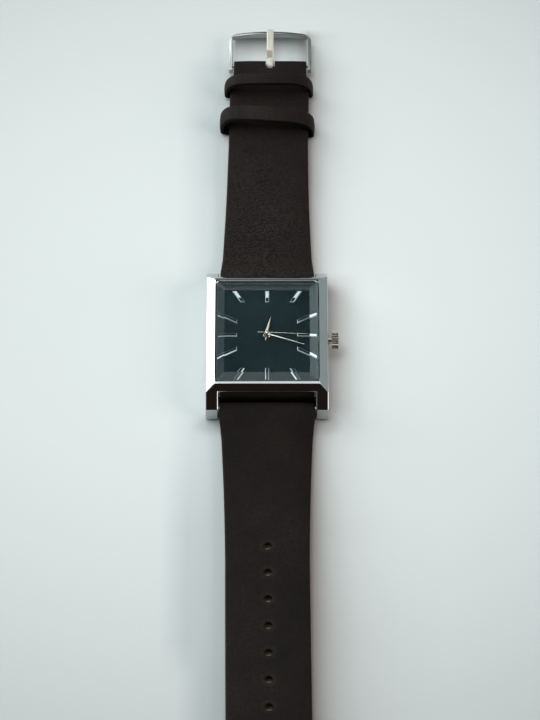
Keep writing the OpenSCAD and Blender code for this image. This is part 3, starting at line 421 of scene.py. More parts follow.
slot_of = {s["node"]: s["material_slot"] for s in frame["record"]["subparts"]}
for node, obj in frame["nodes"].items():
    obj.data.materials.clear()
    obj.data.materials.append(M["tongue_steel" if node == "buckle_tongue" else slot_of[node]])

# Mesh helpers
WELD_REACH, BEVEL_STEPS, BEVEL_ANGLE = 0.001, 3, 25


def bevel(obj, width):
    """Rounded edges; the faces of a part share no points, so they are joined first."""
    obj.modifiers.new("joined", "WELD").merge_threshold = WELD_REACH * MM
    m = obj.modifiers.new("soft edges", "BEVEL")
    m.width = width * MM
    m.segments = BEVEL_STEPS
    m.limit_method = "ANGLE"
    m.angle_limit = math.radians(BEVEL_ANGLE)
    m.harden_normals = True
    m.use_clamp_overlap = False
    m.loop_slide = False


def smooth(obj, angle):
    for p in obj.data.polygons:
        p.use_smooth = True
    obj.data.set_sharp_from_angle(angle=math.radians(angle))


def make(name, verts, faces, material, body, slot, nodes=()):
    """A piece in metres, with the body that it rides on, its slot and the nodes that it replaces."""
    mesh = bpy.data.meshes.new(name)
    mesh.from_pydata([tuple(v) for v in verts], [], faces)
    mesh.validate()
    bm = bmesh.new()
    bm.from_mesh(mesh)
    bmesh.ops.recalc_face_normals(bm, faces=bm.faces)
    bm.to_mesh(mesh)
    bm.free()
    obj = bpy.data.objects.new(name, mesh)
    bpy.context.scene.collection.objects.link(obj)
    mesh.materials.append(M[material])
    obj["body"] = body
    obj["slot"] = slot
    obj["nodes"] = list(nodes)
    return obj


def join_body(obj):
    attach(obj, obj["body"])
    if len(obj["nodes"]):
        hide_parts(*obj["nodes"])


def cut_with(obj, cutters):
    """Cuts the cutters out of the mesh for good, and removes them."""
    for c in cutters:
        m = obj.modifiers.new("cut", "BOOLEAN")
        m.operation = "DIFFERENCE"
        m.solver = "EXACT"
        m.object = c
    deps = bpy.context.evaluated_depsgraph_get()
    mesh = bpy.data.meshes.new_from_object(obj.evaluated_get(deps))
    obj.modifiers.clear()
    obj.data = mesh
    for c in cutters:
        bpy.data.objects.remove(c)


def cutter(bm):
    """A temporary object made from a mesh under construction."""
    mesh = bpy.data.meshes.new("cutter")
    bm.to_mesh(mesh)
    bm.free()
    obj = bpy.data.objects.new("cutter", mesh)
    bpy.context.scene.collection.objects.link(obj)
    return obj


def cylinder(radius, p0, p1, segments=48):
    """A round cutter between two points."""
    a, b = Vector(p0) * MM, Vector(p1) * MM
    bm = bmesh.new()
    bmesh.ops.create_cone(bm, cap_ends=True, segments=segments, radius1=radius * MM, radius2=radius * MM,
                          depth=(b - a).length)
    obj = cutter(bm)
    obj.rotation_euler = (b - a).to_track_quat("Z", "Y").to_euler()
    obj.location = (a + b) / 2
    bpy.context.view_layer.update()
    obj.data.transform(obj.matrix_world)
    obj.matrix_world.identity()
    return obj


def block(x0, x1, y0, y1, z0, z1):
    """A box-shaped cutter."""
    bm = bmesh.new()
    bmesh.ops.create_cube(bm, size=1.0)
    for v in bm.verts:
        v.co = Vector(((x0 + x1) / 2 + v.co.x * (x1 - x0), (y0 + y1) / 2 + v.co.y * (y1 - y0),
                       (z0 + z1) / 2 + v.co.z * (z1 - z0))) * MM
    return cutter(bm)


# Strap: s is the distance from the spring bar along a half, lift the height of its buckle end
BAR_Z, BAR_R = 2.5, 0.8
T_BAR, T_STRAP, LINING_T = 3.0, 2.0, 0.8
DROP_RUN, LIFT, LIFT_START, LIFT_RUN = 8.0, 0.95, 27.0, 8.0
W_LUG, W_STRAP, W_BUCKLE = 21.8, 18.9, 17.5
UPPER_LEN, TIP_RUN = 68.3, 9.0
NARROW_START, NARROW_RUN = 7, 4
LINING_START, LINING_END, LINING_INSET, LINING_GAP = 3.0, 3.0, 0.07, 0.05
PIN_R, LOOP_R, LOOP_RUN = 0.5, 1.25, 2.4
BUCKLE_Y = BAR_Y + UPPER_LEN
BUCKLE_Z = LIFT + T_STRAP / 2
SLOT_W, SLOT_BACK = 2.1, 1.6
TAPER = [(0, 1), (2, 1), (8, 0.64), (14, 0.47), (20, 0.31), (25, 0.21), (31, 0.11), (37, 0.04), (42, 0),
         (200, 0)]
# steps along a half, and in degrees round its turned ends and its tip
STEP, LOOP_STEP, LINING_STEP = 0.55, 0.35, 0.55 * 1.5
BAR_TURN, LOOP_TURN = range(8, 90, 9), range(9, 88, 9)
TIP_TURN, LINING_TIP_TURN = range(4, 90, 4), range(4, 88, 4)
# rounded edges of a layer: angles, largest shares of its thickness and half width, fall towards the edge
CORNER = [math.radians(a) for a in (15, 35, 55, 75)]
CORNER_SHARE, CORNER_SIDE_SHARE, EDGE_FALL = 0.46, 0.9, 0.2
# small distances between sections that meet, and from the last section to the tip
SEAM, TIP_STOP = 0.01, 0.003
# unevenness of the surface: steps across and along, height, offset of the pattern
WAVES = ((0.11, 0.09, 0.05, 0.0), (0.45, 0.4, 0.018, 7.0))
# hollow round a hole: depth, radius, squash along the strap; rim round the hollow: height, radius, width
HOLLOW, RIM_ROUND_HOLE = (0.16, 1.5, 0.8), (0.03, 2.4, 0.7)


def ease(t):
    t = min(1.0, max(0.0, t))
    return t * t * (3 - 2 * t)


def low(s, lift):
    """Height of a half's underside."""
    return (BAR_Z - T_BAR / 2) * (1 - ease(s / DROP_RUN)) + lift * ease((s - LIFT_START) / LIFT_RUN)


def thick(s):
    return T_BAR + (T_STRAP - T_BAR) * ease(s / DROP_RUN)


def taper(s):
    for (a, fa), (b, fb) in zip(TAPER, TAPER[1:]):
        if s <= b:
            return fa + (fb - fa) * (s - a) / (b - a)
    return 0.0


def half_width(s, tail):
    w = W_STRAP + (W_LUG - W_STRAP) * taper(s)
    if tail:
        u = min(1.0, max(0.0, (s - LOWER_LEN + TIP_RUN) / TIP_RUN))
        w *= math.sqrt(max(0.0, 1 - u * u))
    else:
        w += (W_BUCKLE - W_STRAP) * ease((s - UPPER_LEN + NARROW_START) / NARROW_RUN)
    return w / 2


def drift(s, length):
    return SWAY * (s / length) ** 2


def wander(x, s, seed):
    """Slow unevenness of the leather's surface."""
    return sum(height * noise.noise(Vector((x * across, s * along, seed + offset)))
               for across, along, height, offset in WAVES)


def strap_surface(x, s, tail):
    """Extra height of the top face: the hollows round the holes."""
    z = 0.0
    if tail:
        depth, radius, squash = HOLLOW
        rise, rim_radius, rim_width = RIM_ROUND_HOLE
        for h in HOLES:
            off = x - drift(h, LOWER_LEN)
            z -= depth * math.exp(-(math.hypot(off, (s - h) * squash) / radius) ** 2)
            z += rise * math.exp(-((math.hypot(off, s - h) - rim_radius) / rim_width) ** 2)
    return z


class Layer:
    """One leather layer of a strap half, swept from rounded sections; with a seed its top is uneven."""

    def __init__(self, tail, columns, r_top, r_low, inset=0.0, seed=None):
        self.tail = tail
        self.length = LOWER_LEN if tail else UPPER_LEN
        self.lift = 0.0 if tail else LIFT
        self.side = -1 if tail else 1
        self.body = "strap_lower" if tail else "strap_upper"
        self.columns = columns
        self.r_top, self.r_low = r_top, r_low
        self.inset = inset
        self.seed = seed
        self.rings = []

    def ring(self, s, bottom, top):
        """Adds one cross-section between two heights."""
        hw = max(0.02, half_width(min(s, self.length), self.tail) - self.inset)
        room = top - bottom
        rt = min(self.r_top, room * CORNER_SHARE, hw * CORNER_SIDE_SHARE)
        rl = min(self.r_low, room * CORNER_SHARE, hw * CORNER_SIDE_SHARE)
        mid = drift(max(0.0, min(s, self.length)), self.length)
        pts = []
        for j in range(self.columns + 1):
            x = (hw - rt) * (-1 + 2 * j / self.columns)
            z = top
            if self.seed is not None:
                z += wander(x, s, self.seed) + strap_surface(x + mid, s, self.tail)
                z -= EDGE_FALL * min(1.0, room / T_STRAP) * (abs(x) / max(hw, 0.1)) ** 5
            pts.append((x, z))
        z_right = pts[-1][1]
        z_left = pts[0][1]
        for a in CORNER:
            pts.append((hw - rt + rt * math.sin(a), z_right - rt + rt * math.cos(a)))
        for a in CORNER:
            pts.append((hw - rl + rl * math.cos(a), bottom + rl - rl * math.sin(a)))
        under = max(4, self.columns // 3)
        for j in range(1, under):
            pts.append(((hw - rl) * (1 - 2 * j / under), bottom))
        for a in reversed(CORNER):
            pts.append((-hw + rl - rl * math.cos(a), bottom + rl - rl * math.sin(a)))
        for a in reversed(CORNER):
            pts.append((-hw + rt - rt * math.sin(a), z_left - rt + rt * math.cos(a)))
        self.rings.append([((mid + x) * MM, self.side * (BAR_Y + s) * MM, z * MM) for x, z in pts])

    def build(self, name, slot, nodes):
        n = len(self.rings[0])
        verts = [p for ring in self.rings for p in ring]
        faces = []
        for i in range(len(self.rings) - 1):
            for j in range(n):
                a, b = i * n + j, i * n + (j + 1) % n
                faces.append((a, b, b + n, a + n))
        faces.append(tuple(range(n)))
        last = (len(self.rings) - 1) * n
        faces.append(tuple(range(last, last + n)))
        return make(name, verts, faces, slot, self.body, slot, nodes)


def spread(start, end, step):
    n = max(1, round((end - start) / step))
    return [start + (end - start) * i / n for i in range(n + 1)]


def tip_stations(turn):
    """Places of the cross-sections round the tail's tip."""
    return [LOWER_LEN - TIP_RUN + TIP_RUN * math.sin(math.radians(a)) for a in turn]


def hole_cutters():
    """Round cutters that reach past the leather on both sides."""
    middles = [(drift(s, LOWER_LEN), -(BAR_Y + s)) for s in HOLES]
    return [cylinder(HOLE_R, (x, y, -1), (x, y, 3.2), 40) for x, y in middles]


def leather(tail):
    """The outer leather of one half, with its turned loops."""
    layer = Layer(tail, columns=34, r_top=0.42, r_low=0.12, seed=3.0 if tail else 11.0)
    end = LOWER_LEN - TIP_RUN if tail else UPPER_LEN - LINING_END
    for deg in BAR_TURN:
        a = math.radians(deg)
        layer.ring(-T_BAR / 2 * math.cos(a), BAR_Z - T_BAR / 2 * math.sin(a),
                   BAR_Z + T_BAR / 2 * math.sin(a))
    for s in spread(0.0, LINING_START, STEP):
        layer.ring(s, low(s, layer.lift), low(s, layer.lift) + thick(s))
    stations = spread(LINING_START + SEAM, end, STEP)
    if tail:
        stations += tip_stations(TIP_TURN) + [LOWER_LEN - TIP_STOP]
    for s in stations:
        base = low(s, layer.lift)
        layer.ring(s, base + LINING_T, base + thick(s))
    if not tail:
        for s in spread(end + SEAM, UPPER_LEN, LOOP_STEP):
            grow = (LOOP_R - T_STRAP / 2) * ease((s - UPPER_LEN + LOOP_RUN) / LOOP_RUN)
            layer.ring(s, BUCKLE_Z - T_STRAP / 2 - grow, BUCKLE_Z + T_STRAP / 2 + grow)
        for deg in LOOP_TURN:
            a = math.radians(deg)
            layer.ring(UPPER_LEN + LOOP_R * math.sin(a), BUCKLE_Z - LOOP_R * math.cos(a),
                       BUCKLE_Z + LOOP_R * math.cos(a))
    obj = layer.build(layer.body + "_skin", "strap_leather", [layer.body + "_leather"])
    y = layer.side * BAR_Y
    cutters = [cylinder(BAR_R, (-15, y, BAR_Z), (15, y, BAR_Z))]
    if tail:
        cutters += hole_cutters()
    else:
        cutters.append(cylinder(PIN_R, (-14, BUCKLE_Y, BUCKLE_Z), (15, BUCKLE_Y, BUCKLE_Z)))
        cutters.append(block(SWAY - SLOT_W / 2, SWAY + SLOT_W / 2, BUCKLE_Y - SLOT_BACK, BUCKLE_Y + 3,
                             -1, 6))
    cut_with(obj, cutters)
    smooth(obj, angle=50)
    return obj


def lining(tail):
    """The thin skin under one half."""
    layer = Layer(tail, columns=12, r_top=0.14, r_low=0.22, inset=LINING_INSET)
    end = LOWER_LEN - TIP_RUN if tail else UPPER_LEN - LINING_END - LINING_GAP
    stations = spread(LINING_START + LINING_GAP, end, LINING_STEP)
    if tail:
        stations += tip_stations(LINING_TIP_TURN)
    for s in stations:
        base = low(s, layer.lift)
        layer.ring(s, base + SEAM, base + LINING_T)
    obj = layer.build(layer.body + "_underside", "lining_leather", [layer.body + "_lining"])
    if tail:
        cut_with(obj, hole_cutters())
    smooth(obj, angle=50)
    return obj


# Keepers
KEEPER_MID, KEEPER_TOP = 2.0, 6.3
KEEPER_SIDE, KEEPER_UP, KEEPER_DOWN = 0.8, 1.0, 0.5
KEEPER_SQ, KEEPER_LOW_SQ = 0.4, 0.3
KEEPER_EDGE, KEEPER_CROWN, KEEPER_WAVE = 0.32, 0.12, 0.05
KEEPER_STEPS, KEEPER_CORNER_STEPS = 96, 5
# body, shift sideways, half width, place along the watch, width of the band, lowest point, skew and lean
KEEPERS = {"keeper_fixed": ("strap_upper", 0.36, 10.55, BUCKLE_Y - 9.4, 3.3, 0.45, 0.0, 0.0),
           "keeper_free": ("loop", 0.0, 11.2, BUCKLE_Y - 21.2, 4.4, 0.0, 0.05, 0.04)}


def keeper_point(a, hw, side, up, down, base):
    """Point of a keeper's rounded outline, moved inwards at the side, top and bottom."""
    c = math.copysign(abs(math.cos(a)) ** KEEPER_SQ, math.cos(a))
    s = math.sin(a)
    x = (hw - side) * c
    if s >= 0:
        return x, KEEPER_MID + (KEEPER_TOP - up - KEEPER_MID) * s
    return x, KEEPER_MID - (KEEPER_MID - base - down) * (-s) ** KEEPER_LOW_SQ


def keeper_section(width):
    """Section of the band: place along the watch, inner or outer face, and lift from that face."""
    edge = KEEPER_EDGE
    turn = 90 / (KEEPER_CORNER_STEPS - 1)
    section = []
    far = width - edge
    for cy, ct, sy, st in ((far, 1, 1, 1), (far, 0, 1, -1), (edge, 0, -1, -1), (edge, 1, -1, 1)):
        for k in range(KEEPER_CORNER_STEPS):
            b = math.radians(turn * k if sy * st < 0 else 90 - turn * k)
            section.append((cy + sy * edge * math.cos(b), ct, st * math.sin(b) * edge))
        if ct == 1 and sy == -1:
            section += [(width * f, 1, edge + KEEPER_CROWN * (1 - (2 * f - 1) ** 2))
                        for f in (0.3, 0.5, 0.7)]
    return section


def keeper(name):
    """A closed leather loop whose band has a rounded, slightly crowned section."""
    body, shift, hw, y0, width, base, skew, lean = KEEPERS[name]
    section = keeper_section(width)
    n = len(section)
    verts, faces = [], []
    for i in range(KEEPER_STEPS):
        a = 2 * math.pi * (i + 0.5) / KEEPER_STEPS
        ox, oz = keeper_point(a, hw, 0, 0, 0, base)
        ix, iz = keeper_point(a, hw, KEEPER_SIDE, KEEPER_UP, KEEPER_DOWN, base)
        thick_here = math.hypot(ox - ix, oz - iz)
        for y, t, lift in section:
            f = (t * thick_here + lift - (KEEPER_EDGE if t else -KEEPER_EDGE)) / thick_here
            wave = KEEPER_WAVE * noise.noise(Vector((ox * 0.3, y * 0.5, y0))) if t else 0.0
            f += wave / thick_here
            x, z = ix + (ox - ix) * f, iz + (oz - iz) * f
            z -= lean * x * max(0.0, z - 1) / (KEEPER_TOP - 1)
            verts.append(((shift + x) * MM, (y0 + y - skew * x) * MM, z * MM))
    for i in range(KEEPER_STEPS):
        for k in range(n):
            a, b = i * n + k, i * n + (k + 1) % n
            c, d = ((i + 1) % KEEPER_STEPS) * n + (k + 1) % n, ((i + 1) % KEEPER_STEPS) * n + k
            faces.append((a, b, c, d))
    obj = make(name + "_band", verts, faces, "keeper_leather", body, "strap_leather", [name])
    smooth(obj, angle=60)
    return obj


# Hands: height, length, greatest half width and where, tail length and half width, degrees from twelve,
# radius of the hub and of its bore, half width of the tip, height of the ridge
HANDS = {
    "hour": dict(body="hours", look="hour_silver", z0=5.87, length=5.35, hw=0.62, shoulder=0.7, tail=1.8,
                 tail_hw=0.08, turn=9.2, hub=0.88, bore=0.69, point=0.04, ridge=0.14),
    "minute": dict(body="minutes", look="minute_silver", z0=6.32, length=9.1, hw=0.26, shoulder=0.8,
                   tail=1.3, tail_hw=0.08, turn=110.4, hub=0.6, bore=0.39, point=0.07, ridge=0.16),
    "second": dict(body="seconds", look="minute_silver", z0=6.77, length=9.1, hw=0.14, shoulder=0.0,
                   tail=2.2, tail_hw=0.2, turn=93.2, hub=0.4, bore=0.01, point=0.07, ridge=0.1)}
HAND_RIM = 0.03
HUB_RISE, HUB_SEGMENTS = 0.16, 64
# foot and shoulder of a hub: heights, width of the chamfer between them, share of the radius of its top
HUB_FOOT, HUB_SHOULDER, HUB_CHAMFER, HUB_TOP = 0.06, 0.09, 0.04, 0.3


def hand(kind, body, look, z0, length, hw, shoulder, tail, tail_hw, turn, hub, bore, point, ridge):
    """A hand with two facets that meet in a ridge, on a round hub."""
    a = math.radians(-turn)
    right = [(point, length), (hw, shoulder), (tail_hw, -tail)]
    outline = right + [(-x, y) for x, y in reversed(right)]
    rim = z0 + HAND_RIM
    points = [(x, y, z0) for x, y in outline] + [(x, y, rim) for x, y in outline]
    points += [(0, length, rim + point * 0.3), (0, shoulder, z0 + ridge), (0, -tail + 0.02, rim + 0.02)]
    verts = [((x * math.cos(a) - y * math.sin(a)) * MM, (x * math.sin(a) + y * math.cos(a)) * MM, z * MM)
             for x, y, z in points]
    faces = [tuple(range(6))]
    faces += [(i, (i + 1) % 6, 6 + (i + 1) % 6, 6 + i) for i in range(6)]
    faces += [(6, 7, 13, 12), (7, 8, 14, 13), (8, 9, 14), (9, 10, 13, 14), (10, 11, 12, 13), (11, 6, 12)]
    obj = make(kind + "_blade", verts, faces, look, body, "hand_silver", [kind + "_hand"])
    smooth(obj, angle=5)
    return [obj, hub_disc(kind + "_hub", hub, bore, z0 - 0.005, rim + HUB_RISE, body)]


def hub_disc(name, radius, bore, z0, z1, body):
    """A turned hub that rises in a low cone to its middle."""
    profile = [(bore, z0), (radius, z0), (radius, z0 + HUB_FOOT), (radius - HUB_CHAMFER, z0 + HUB_SHOULDER),
               (bore + (radius - bore) * HUB_TOP, z1), (bore + 0.005, z1)]
    n = len(profile)
    verts, faces = [], []
    for i in range(HUB_SEGMENTS):
        a = 2 * math.pi * i / HUB_SEGMENTS
        for r, z in profile:
            verts.append((r * math.cos(a) * MM, r * math.sin(a) * MM, z * MM))
    for i in range(HUB_SEGMENTS):
        for k in range(n):
            j = (i + 1) % HUB_SEGMENTS
            faces.append((i * n + k, i * n + (k + 1) % n, j * n + (k + 1) % n, j * n + k))
    obj = make(name, verts, faces, "hand_silver", body, "hand_silver")
    smooth(obj, angle=30)
    return obj


# Hour markers: sizes, and the bands beside and above the dial's middle that they fill
DIAL_TOP, MARKER_H, MARKER_W, MARKER_EDGE = 5.5, 0.35, 0.88, 0.15
MARKER_X, MARKER_Y = (6.92, 11.2), (9.8, 13.1)


def baton(number, inset):
    """Outline of one marker, its sides moved inwards by the inset."""
    a = math.radians(number * 30)
    hw = MARKER_W / 2 - inset
    # eleven to one and five to seven end on level lines, the others on upright ones
    near_twelve = abs(math.cos(a)) > 0.8
    band = MARKER_Y if near_twelve else MARKER_X
    sign = 1 if (math.cos(a) if near_twelve else math.sin(a)) > 0 else -1
    points = []
    near, far = band[0] + inset, band[1] - inset
    for level, side in ((near, -1), (near, 1), (far, 1), (far, -1)):
        if near_twelve:
            points.append((level * sign * math.tan(a) + side * hw / abs(math.cos(a)), level * sign))
        else:
            points.append((level * sign, level * sign / math.tan(a) + side * hw / abs(math.sin(a))))
    return points


def markers():
    """Mirror-flat batons and their bright chamfered edges."""
    top = DIAL_TOP + MARKER_H
    flat_verts, flat_faces, edge_verts, edge_faces = [], [], [], []
    for number in range(12):
        start = len(edge_verts)
        for inset, z in ((0, DIAL_TOP), (0, top - MARKER_EDGE), (MARKER_EDGE, top)):
            edge_verts += [(x * MM, y * MM, z * MM) for x, y in baton(number, inset)]
        for k in range(2):
            for j in range(4):
                a, b = start + 4 * k + j, start + 4 * k + (j + 1) % 4
                edge_faces.append((a, b, b + 4, a + 4))
        edge_faces.append(tuple(start + j for j in range(4)))
        start = len(flat_verts)
        for z in (top - MARKER_EDGE, top):
            flat_verts += [(x * MM, y * MM, z * MM) for x, y in baton(number, MARKER_EDGE)]
        flat_faces += [tuple(start + j for j in range(4)), tuple(start + 4 + j for j in range(4))]
        flat_faces += [(start + j, start + (j + 1) % 4, start + 4 + (j + 1) % 4, start + 4 + j)
                       for j in range(4)]
    tops = make("marker_tops", flat_verts, flat_faces, "marker_silver", "case", "marker_silver",
                ["hour_markers"])
    edges = make("marker_edges", edge_verts, edge_faces, "marker_edge", "case", "marker_silver")
    return [tops, edges]


# Buckle: radius and half width of the tongue's eye, its least radius, and how its sides round off
EYE_R, EYE_HW, EYE_LEAST = 1.42, 0.8, PIN_R + 0.02
EYE_RINGS, EYE_SEGMENTS = 17, 40
EYE_SQUARE, EYE_ROUND = 5, 0.35


def tongue_eye():
    """The rounded end of the tongue, folded round the bar."""
    verts, faces = [], []
    for i in range(EYE_RINGS):
        u = -1 + 2 * i / (EYE_RINGS - 1)
        r = max(EYE_R * (1 - abs(u) ** EYE_SQUARE) ** EYE_ROUND, EYE_LEAST)
        for k in range(EYE_SEGMENTS):
            a = 2 * math.pi * k / EYE_SEGMENTS
            verts.append(((SWAY + EYE_HW * u) * MM, (BUCKLE_Y + r * math.cos(a)) * MM,
                          (BUCKLE_Z + r * math.sin(a)) * MM))
    for i in range(EYE_RINGS - 1):
        for k in range(EYE_SEGMENTS):
            a, b = i * EYE_SEGMENTS + k, i * EYE_SEGMENTS + (k + 1) % EYE_SEGMENTS
            faces.append((a, b, b + EYE_SEGMENTS, a + EYE_SEGMENTS))
    faces.append(tuple(range(EYE_SEGMENTS)))
    faces.append(tuple(range((EYE_RINGS - 1) * EYE_SEGMENTS, EYE_RINGS * EYE_SEGMENTS)))
    obj = make("tongue_eye", verts, faces, "tongue_steel", "tongue", "buckle_steel")
    smooth(obj, angle=70)
    return obj


# Pieces
pieces = [leather(False), leather(True), lining(False), lining(True)]
pieces += [keeper(name) for name in KEEPERS]
for kind, sizes in HANDS.items():
    pieces += hand(kind, **sizes)
pieces += markers() + [tongue_eye()]
for piece in pieces:
    join_body(piece)

# width of the rounded edges of the solids that stay
SOFTENED = {"case_body": 0.2, "crystal": 0.1, "buckle_frame": 0.12, "buckle_tongue": 0.3,
            "buckle_bar": 0.08, "crown": 0.04, "crown_tube": 0.05, "case_back": 0.1,
            "dial": 0.02, "spring_bar_upper": 0.06, "spring_bar_lower": 0.06, "movement_holder": 0.05,
            "main_plate": 0.04, "train_bridge": 0.04, "battery": 0.08, "quartz_can": 0.06}
for node, width in SOFTENED.items():
    bevel(frame["nodes"][node], width)


# Table: the shades reach this far to each side of the watch
SHADE_REACH = 40


def beside(left, left_end, under, right, run):
    """Painted shade across the table beside a strap half: even at the left, falling off at the right."""
    row = [(-SHADE_REACH, 0), (left_end, 0), (left_end + 6, left), (-11.6, left), (-9.6, left * 0.5),
           (-7, under), (7, under)]
    row += [(10 + d, right * math.exp(-d / run)) for d in (0, 1, 2, 3.5, 5, 7, 10, 14, 20)]
    return row + [(SHADE_REACH, 0)]


# half size in metres, colour, tone of its specks, and a painted pool of light: brightness by the squared
# distance from the watch
FLOOR_HALF = 2.5
TABLE = (0.80, 0.865, 0.86)
SPECKS = [(0.0, (1, 1, 1)), (0.76, (1, 1, 1)), (0.82, (0.93, 0.93, 0.93))]
LIGHT_POOL = [(0.0, 1.0), (0.28, 0.72), (0.36, 0.655), (0.46, 0.61), (0.6, 0.58), (1.0, 0.56)]
# shares of red, green and blue that a shade takes at the right and at the left
WARM, COOL = (0.92, 1.03, 1.05), (1.07, 1.01, 0.92)
# where a row takes over from the one before it, and its painted shade losses
ROWS = [(101, 98.5, beside(0.0, -21, 0.0, 0.5, 2.4)),
        (93, 88, beside(0.1, -21, 0.0, 0.5, 3.6)),
        (24, 18, [(-40, 0), (-12, 0), (14.5, 0.48), (15.8, 0.41), (17, 0.33), (18, 0.26), (19.2, 0.17),
                  (20.5, 0.09), (22, 0.03), (24, 0), (40, 0)]),
        (-16, -22, beside(0.12, -23, 0.6, 0.62, 4.3)),
        (-30, -52, beside(0.2, -24, 0.6, 0.64, 6.2)),
        (-58, -78, beside(0.19, -24, 0.6, 0.62, 7.5)),
        (-82, -93, beside(0.2, -20, 0.6, 0.6, 7.5)),
        (-104, -127, beside(0.0, -24, 0.0, 0.0, 4.0))]
# share of the light inside the buckle, by place along the watch, and how far it reaches from the middle
BEHIND_BAR = [(90.0, 1.0), (92.4, 0.9), (93.7, 0.78), (94.7, 0.66), (95.6, 0.51), (96.6, 0.33),
              (97.6, 0.13), (98.1, 0.1), (99.1, 1.0)]
BEHIND_FROM, BEHIND_TO = 90, 100
WINDOW_X, WINDOW_IN, WINDOW_OUT = 0.7, 8.2, 9.4
# patches: middle, half width, half length, share of the light
PATCHES = [(0, 0, 48, 34, 1.045), (13, -21.5, 5, 3.5, 0.85), (-13, -21.5, 5, 3.5, 0.85)]


def table_shades(n):
    """Painted soft shades round the watch, given row by row along its length."""
    across = n.span(n.axis("X"), -SHADE_REACH * MM, SHADE_REACH * MM, 0.0, 1.0)
    current = None
    for y_start, y_end, row in ROWS:
        stops = [((x + SHADE_REACH) / (2 * SHADE_REACH),
                  tuple(1 - loss * t for t in (WARM if x > 0 else COOL))) for x, loss in row]
        here = n.ramp(across, stops)
        share = n.span(n.axis("Y"), y_start * MM, y_end * MM, 0.0, 1.0)
        current = n.between(share, here) if current is None else n.blend(share, current, here)
    along = n.span(n.axis("Y"), BEHIND_FROM * MM, BEHIND_TO * MM, 0.0, 1.0)
    run = BEHIND_TO - BEHIND_FROM
    behind = n.ramp(along, [((y - BEHIND_FROM) / run, (v, v, v)) for y, v in BEHIND_BAR])
    aside = n.math("ABSOLUTE", n.math("SUBTRACT", n.axis("X"), WINDOW_X * MM))
    window = n.span(aside, WINDOW_IN * MM, WINDOW_OUT * MM, 1.0, 0.0)
    current = n.multiply(current, n.between(window, behind))
    for x, y, wide, long, share in PATCHES:
        near = n.span(n.distance(x, y, wide, long), 0.4, 1.0, 1.0, 0.0)
        current = n.multiply(current, n.tone(near, [(0.0, (1, 1, 1)), (1.0, (share, share, share))]))
    return current


def table_material():
    n = Net("table")
    n.set(Specular_IOR_Level=0.3, Roughness=0.42)
    # painted pool of light, darker away from the watch
    far = n.math("POWER", n.distance(-5, 20, 240, 240), 2.0)
    color = n.ramp(far, [(at, tuple(c * v for c in TABLE)) for at, v in LIGHT_POOL])
    speck = n.ramp(n.noise(300, detail=2, rough=0.5), SPECKS)
    color = n.multiply(n.multiply(color, table_shades(n)), speck)
    return n.finish(color, None, n.bump(n.noise(40), 0.02 * MM, 0.3))


table = bpy.data.meshes.new("table")
corners = [(x * FLOOR_HALF, y * FLOOR_HALF, 0) for x, y in ((-1, -1), (1, -1), (1, 1), (-1, 1))]
table.from_pydata(corners, [], [(0, 1, 2, 3)])
floor = bpy.data.objects.new("table", table)
bpy.context.scene.collection.objects.link(floor)
table.materials.append(table_material())


# Light
def lamp(name, at, size, power, color):
    """An oblong lamp that faces the watch; place and size in metres."""
    data = bpy.data.lights.new(name, "AREA")
    data.shape = "RECTANGLE"
    data.size, data.size_y = size
    data.energy = power
    data.color = color
    obj = bpy.data.objects.new(name, data)
    bpy.context.scene.collection.objects.link(obj)
    obj.location = at
    obj.rotation_euler = (-Vector(at)).to_track_quat("-Z", "Y").to_euler()


lamp("window", (-1.25, 0.9, 0.75), (0.9, 1.0), 7, (0.98, 1.0, 1.0))
lamp("ceiling", (-0.45, -0.12, 1.55), (0.8, 0.8), 5, (0.98, 1.0, 0.99))

ROOM = (0.46, 0.50, 0.51)
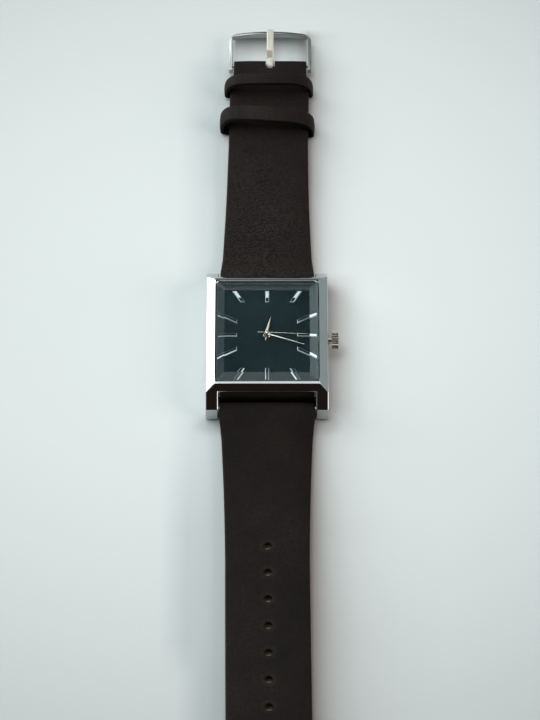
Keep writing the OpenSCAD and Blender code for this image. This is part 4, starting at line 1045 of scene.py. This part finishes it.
# bright and dark spots: aim, inner and outer angle of the soft edge, colour
SPOTS = [((0, 0.3, 0.95), 20, 38, (1.3, 1.37, 1.37)),
         ((-0.75, 0.62, 0.25), 20, 30, (1.9, 1.95, 1.95)),
         ((0.78, 0.58, 0.24), 20, 33, (0.36, 0.41, 0.41)),
         ((0, 0.95, 0.28), 16, 28, (0.24, 0.27, 0.27)),
         ((-0.3, 0.6, 0.74), 9, 13, (1.8, 1.85, 1.85)),
         ((0, 0.31, 0.95), 3.5, 6.5, (0.26, 0.42, 0.45)),
         ((0, 0.775, 0.632), 4, 7, (0.05, 0.09, 0.1)),
         ((-0.42, 0.64, 0.64), 3.5, 6, (0.7, 0.9, 0.95)),
         ((0, 0.63, 0.777), 5.5, 8, (0.02, 0.026, 0.03)),
         ((0.3, 0.61, 0.735), 9, 13, (0.02, 0.026, 0.03)),
         ((0.42, 0.64, 0.64), 3.5, 6, (0.5, 0.9, 0.95)),
         ((0, -0.8, 0.58), 38, 54, (0.018, 0.012, 0.010)),
         ((0.88, -0.24, 0.38), 18, 24, (4.0, 3.6, 3.5))]


def world_light():
    """Pale room: dark towards the viewer, bright at the left, grey at the right."""
    world = bpy.data.worlds.new("room")
    world.use_nodes = True
    bpy.context.scene.world = world
    nt = world.node_tree
    direction = nt.nodes.new("ShaderNodeTexCoord").outputs["Generated"]
    color = nt.nodes.new("ShaderNodeRGB")
    color.outputs[0].default_value = (*ROOM, 1.0)
    current = color.outputs[0]
    for aim, inner, outer, tint in SPOTS:
        dot = nt.nodes.new("ShaderNodeVectorMath")
        dot.operation = "DOT_PRODUCT"
        nt.links.new(direction, dot.inputs[0])
        dot.inputs[1].default_value = Vector(aim).normalized()
        span = nt.nodes.new("ShaderNodeMapRange")
        span.interpolation_type = "SMOOTHSTEP"
        span.inputs["From Min"].default_value = math.cos(math.radians(outer))
        span.inputs["From Max"].default_value = math.cos(math.radians(inner))
        nt.links.new(dot.outputs["Value"], span.inputs["Value"])
        mix = nt.nodes.new("ShaderNodeMix")
        mix.data_type = "RGBA"
        nt.links.new(span.outputs["Result"], mix.inputs["Factor"])
        nt.links.new(current, mix.inputs[MIX_A])
        mix.inputs[MIX_B].default_value = (*tint, 1.0)
        current = mix.outputs[MIX_RESULT]
    background = nt.nodes["Background"]
    nt.links.new(current, background.inputs["Color"])
    background.inputs["Strength"].default_value = 1.0


world_light()

bpy.context.scene.view_settings.view_transform = "Standard"
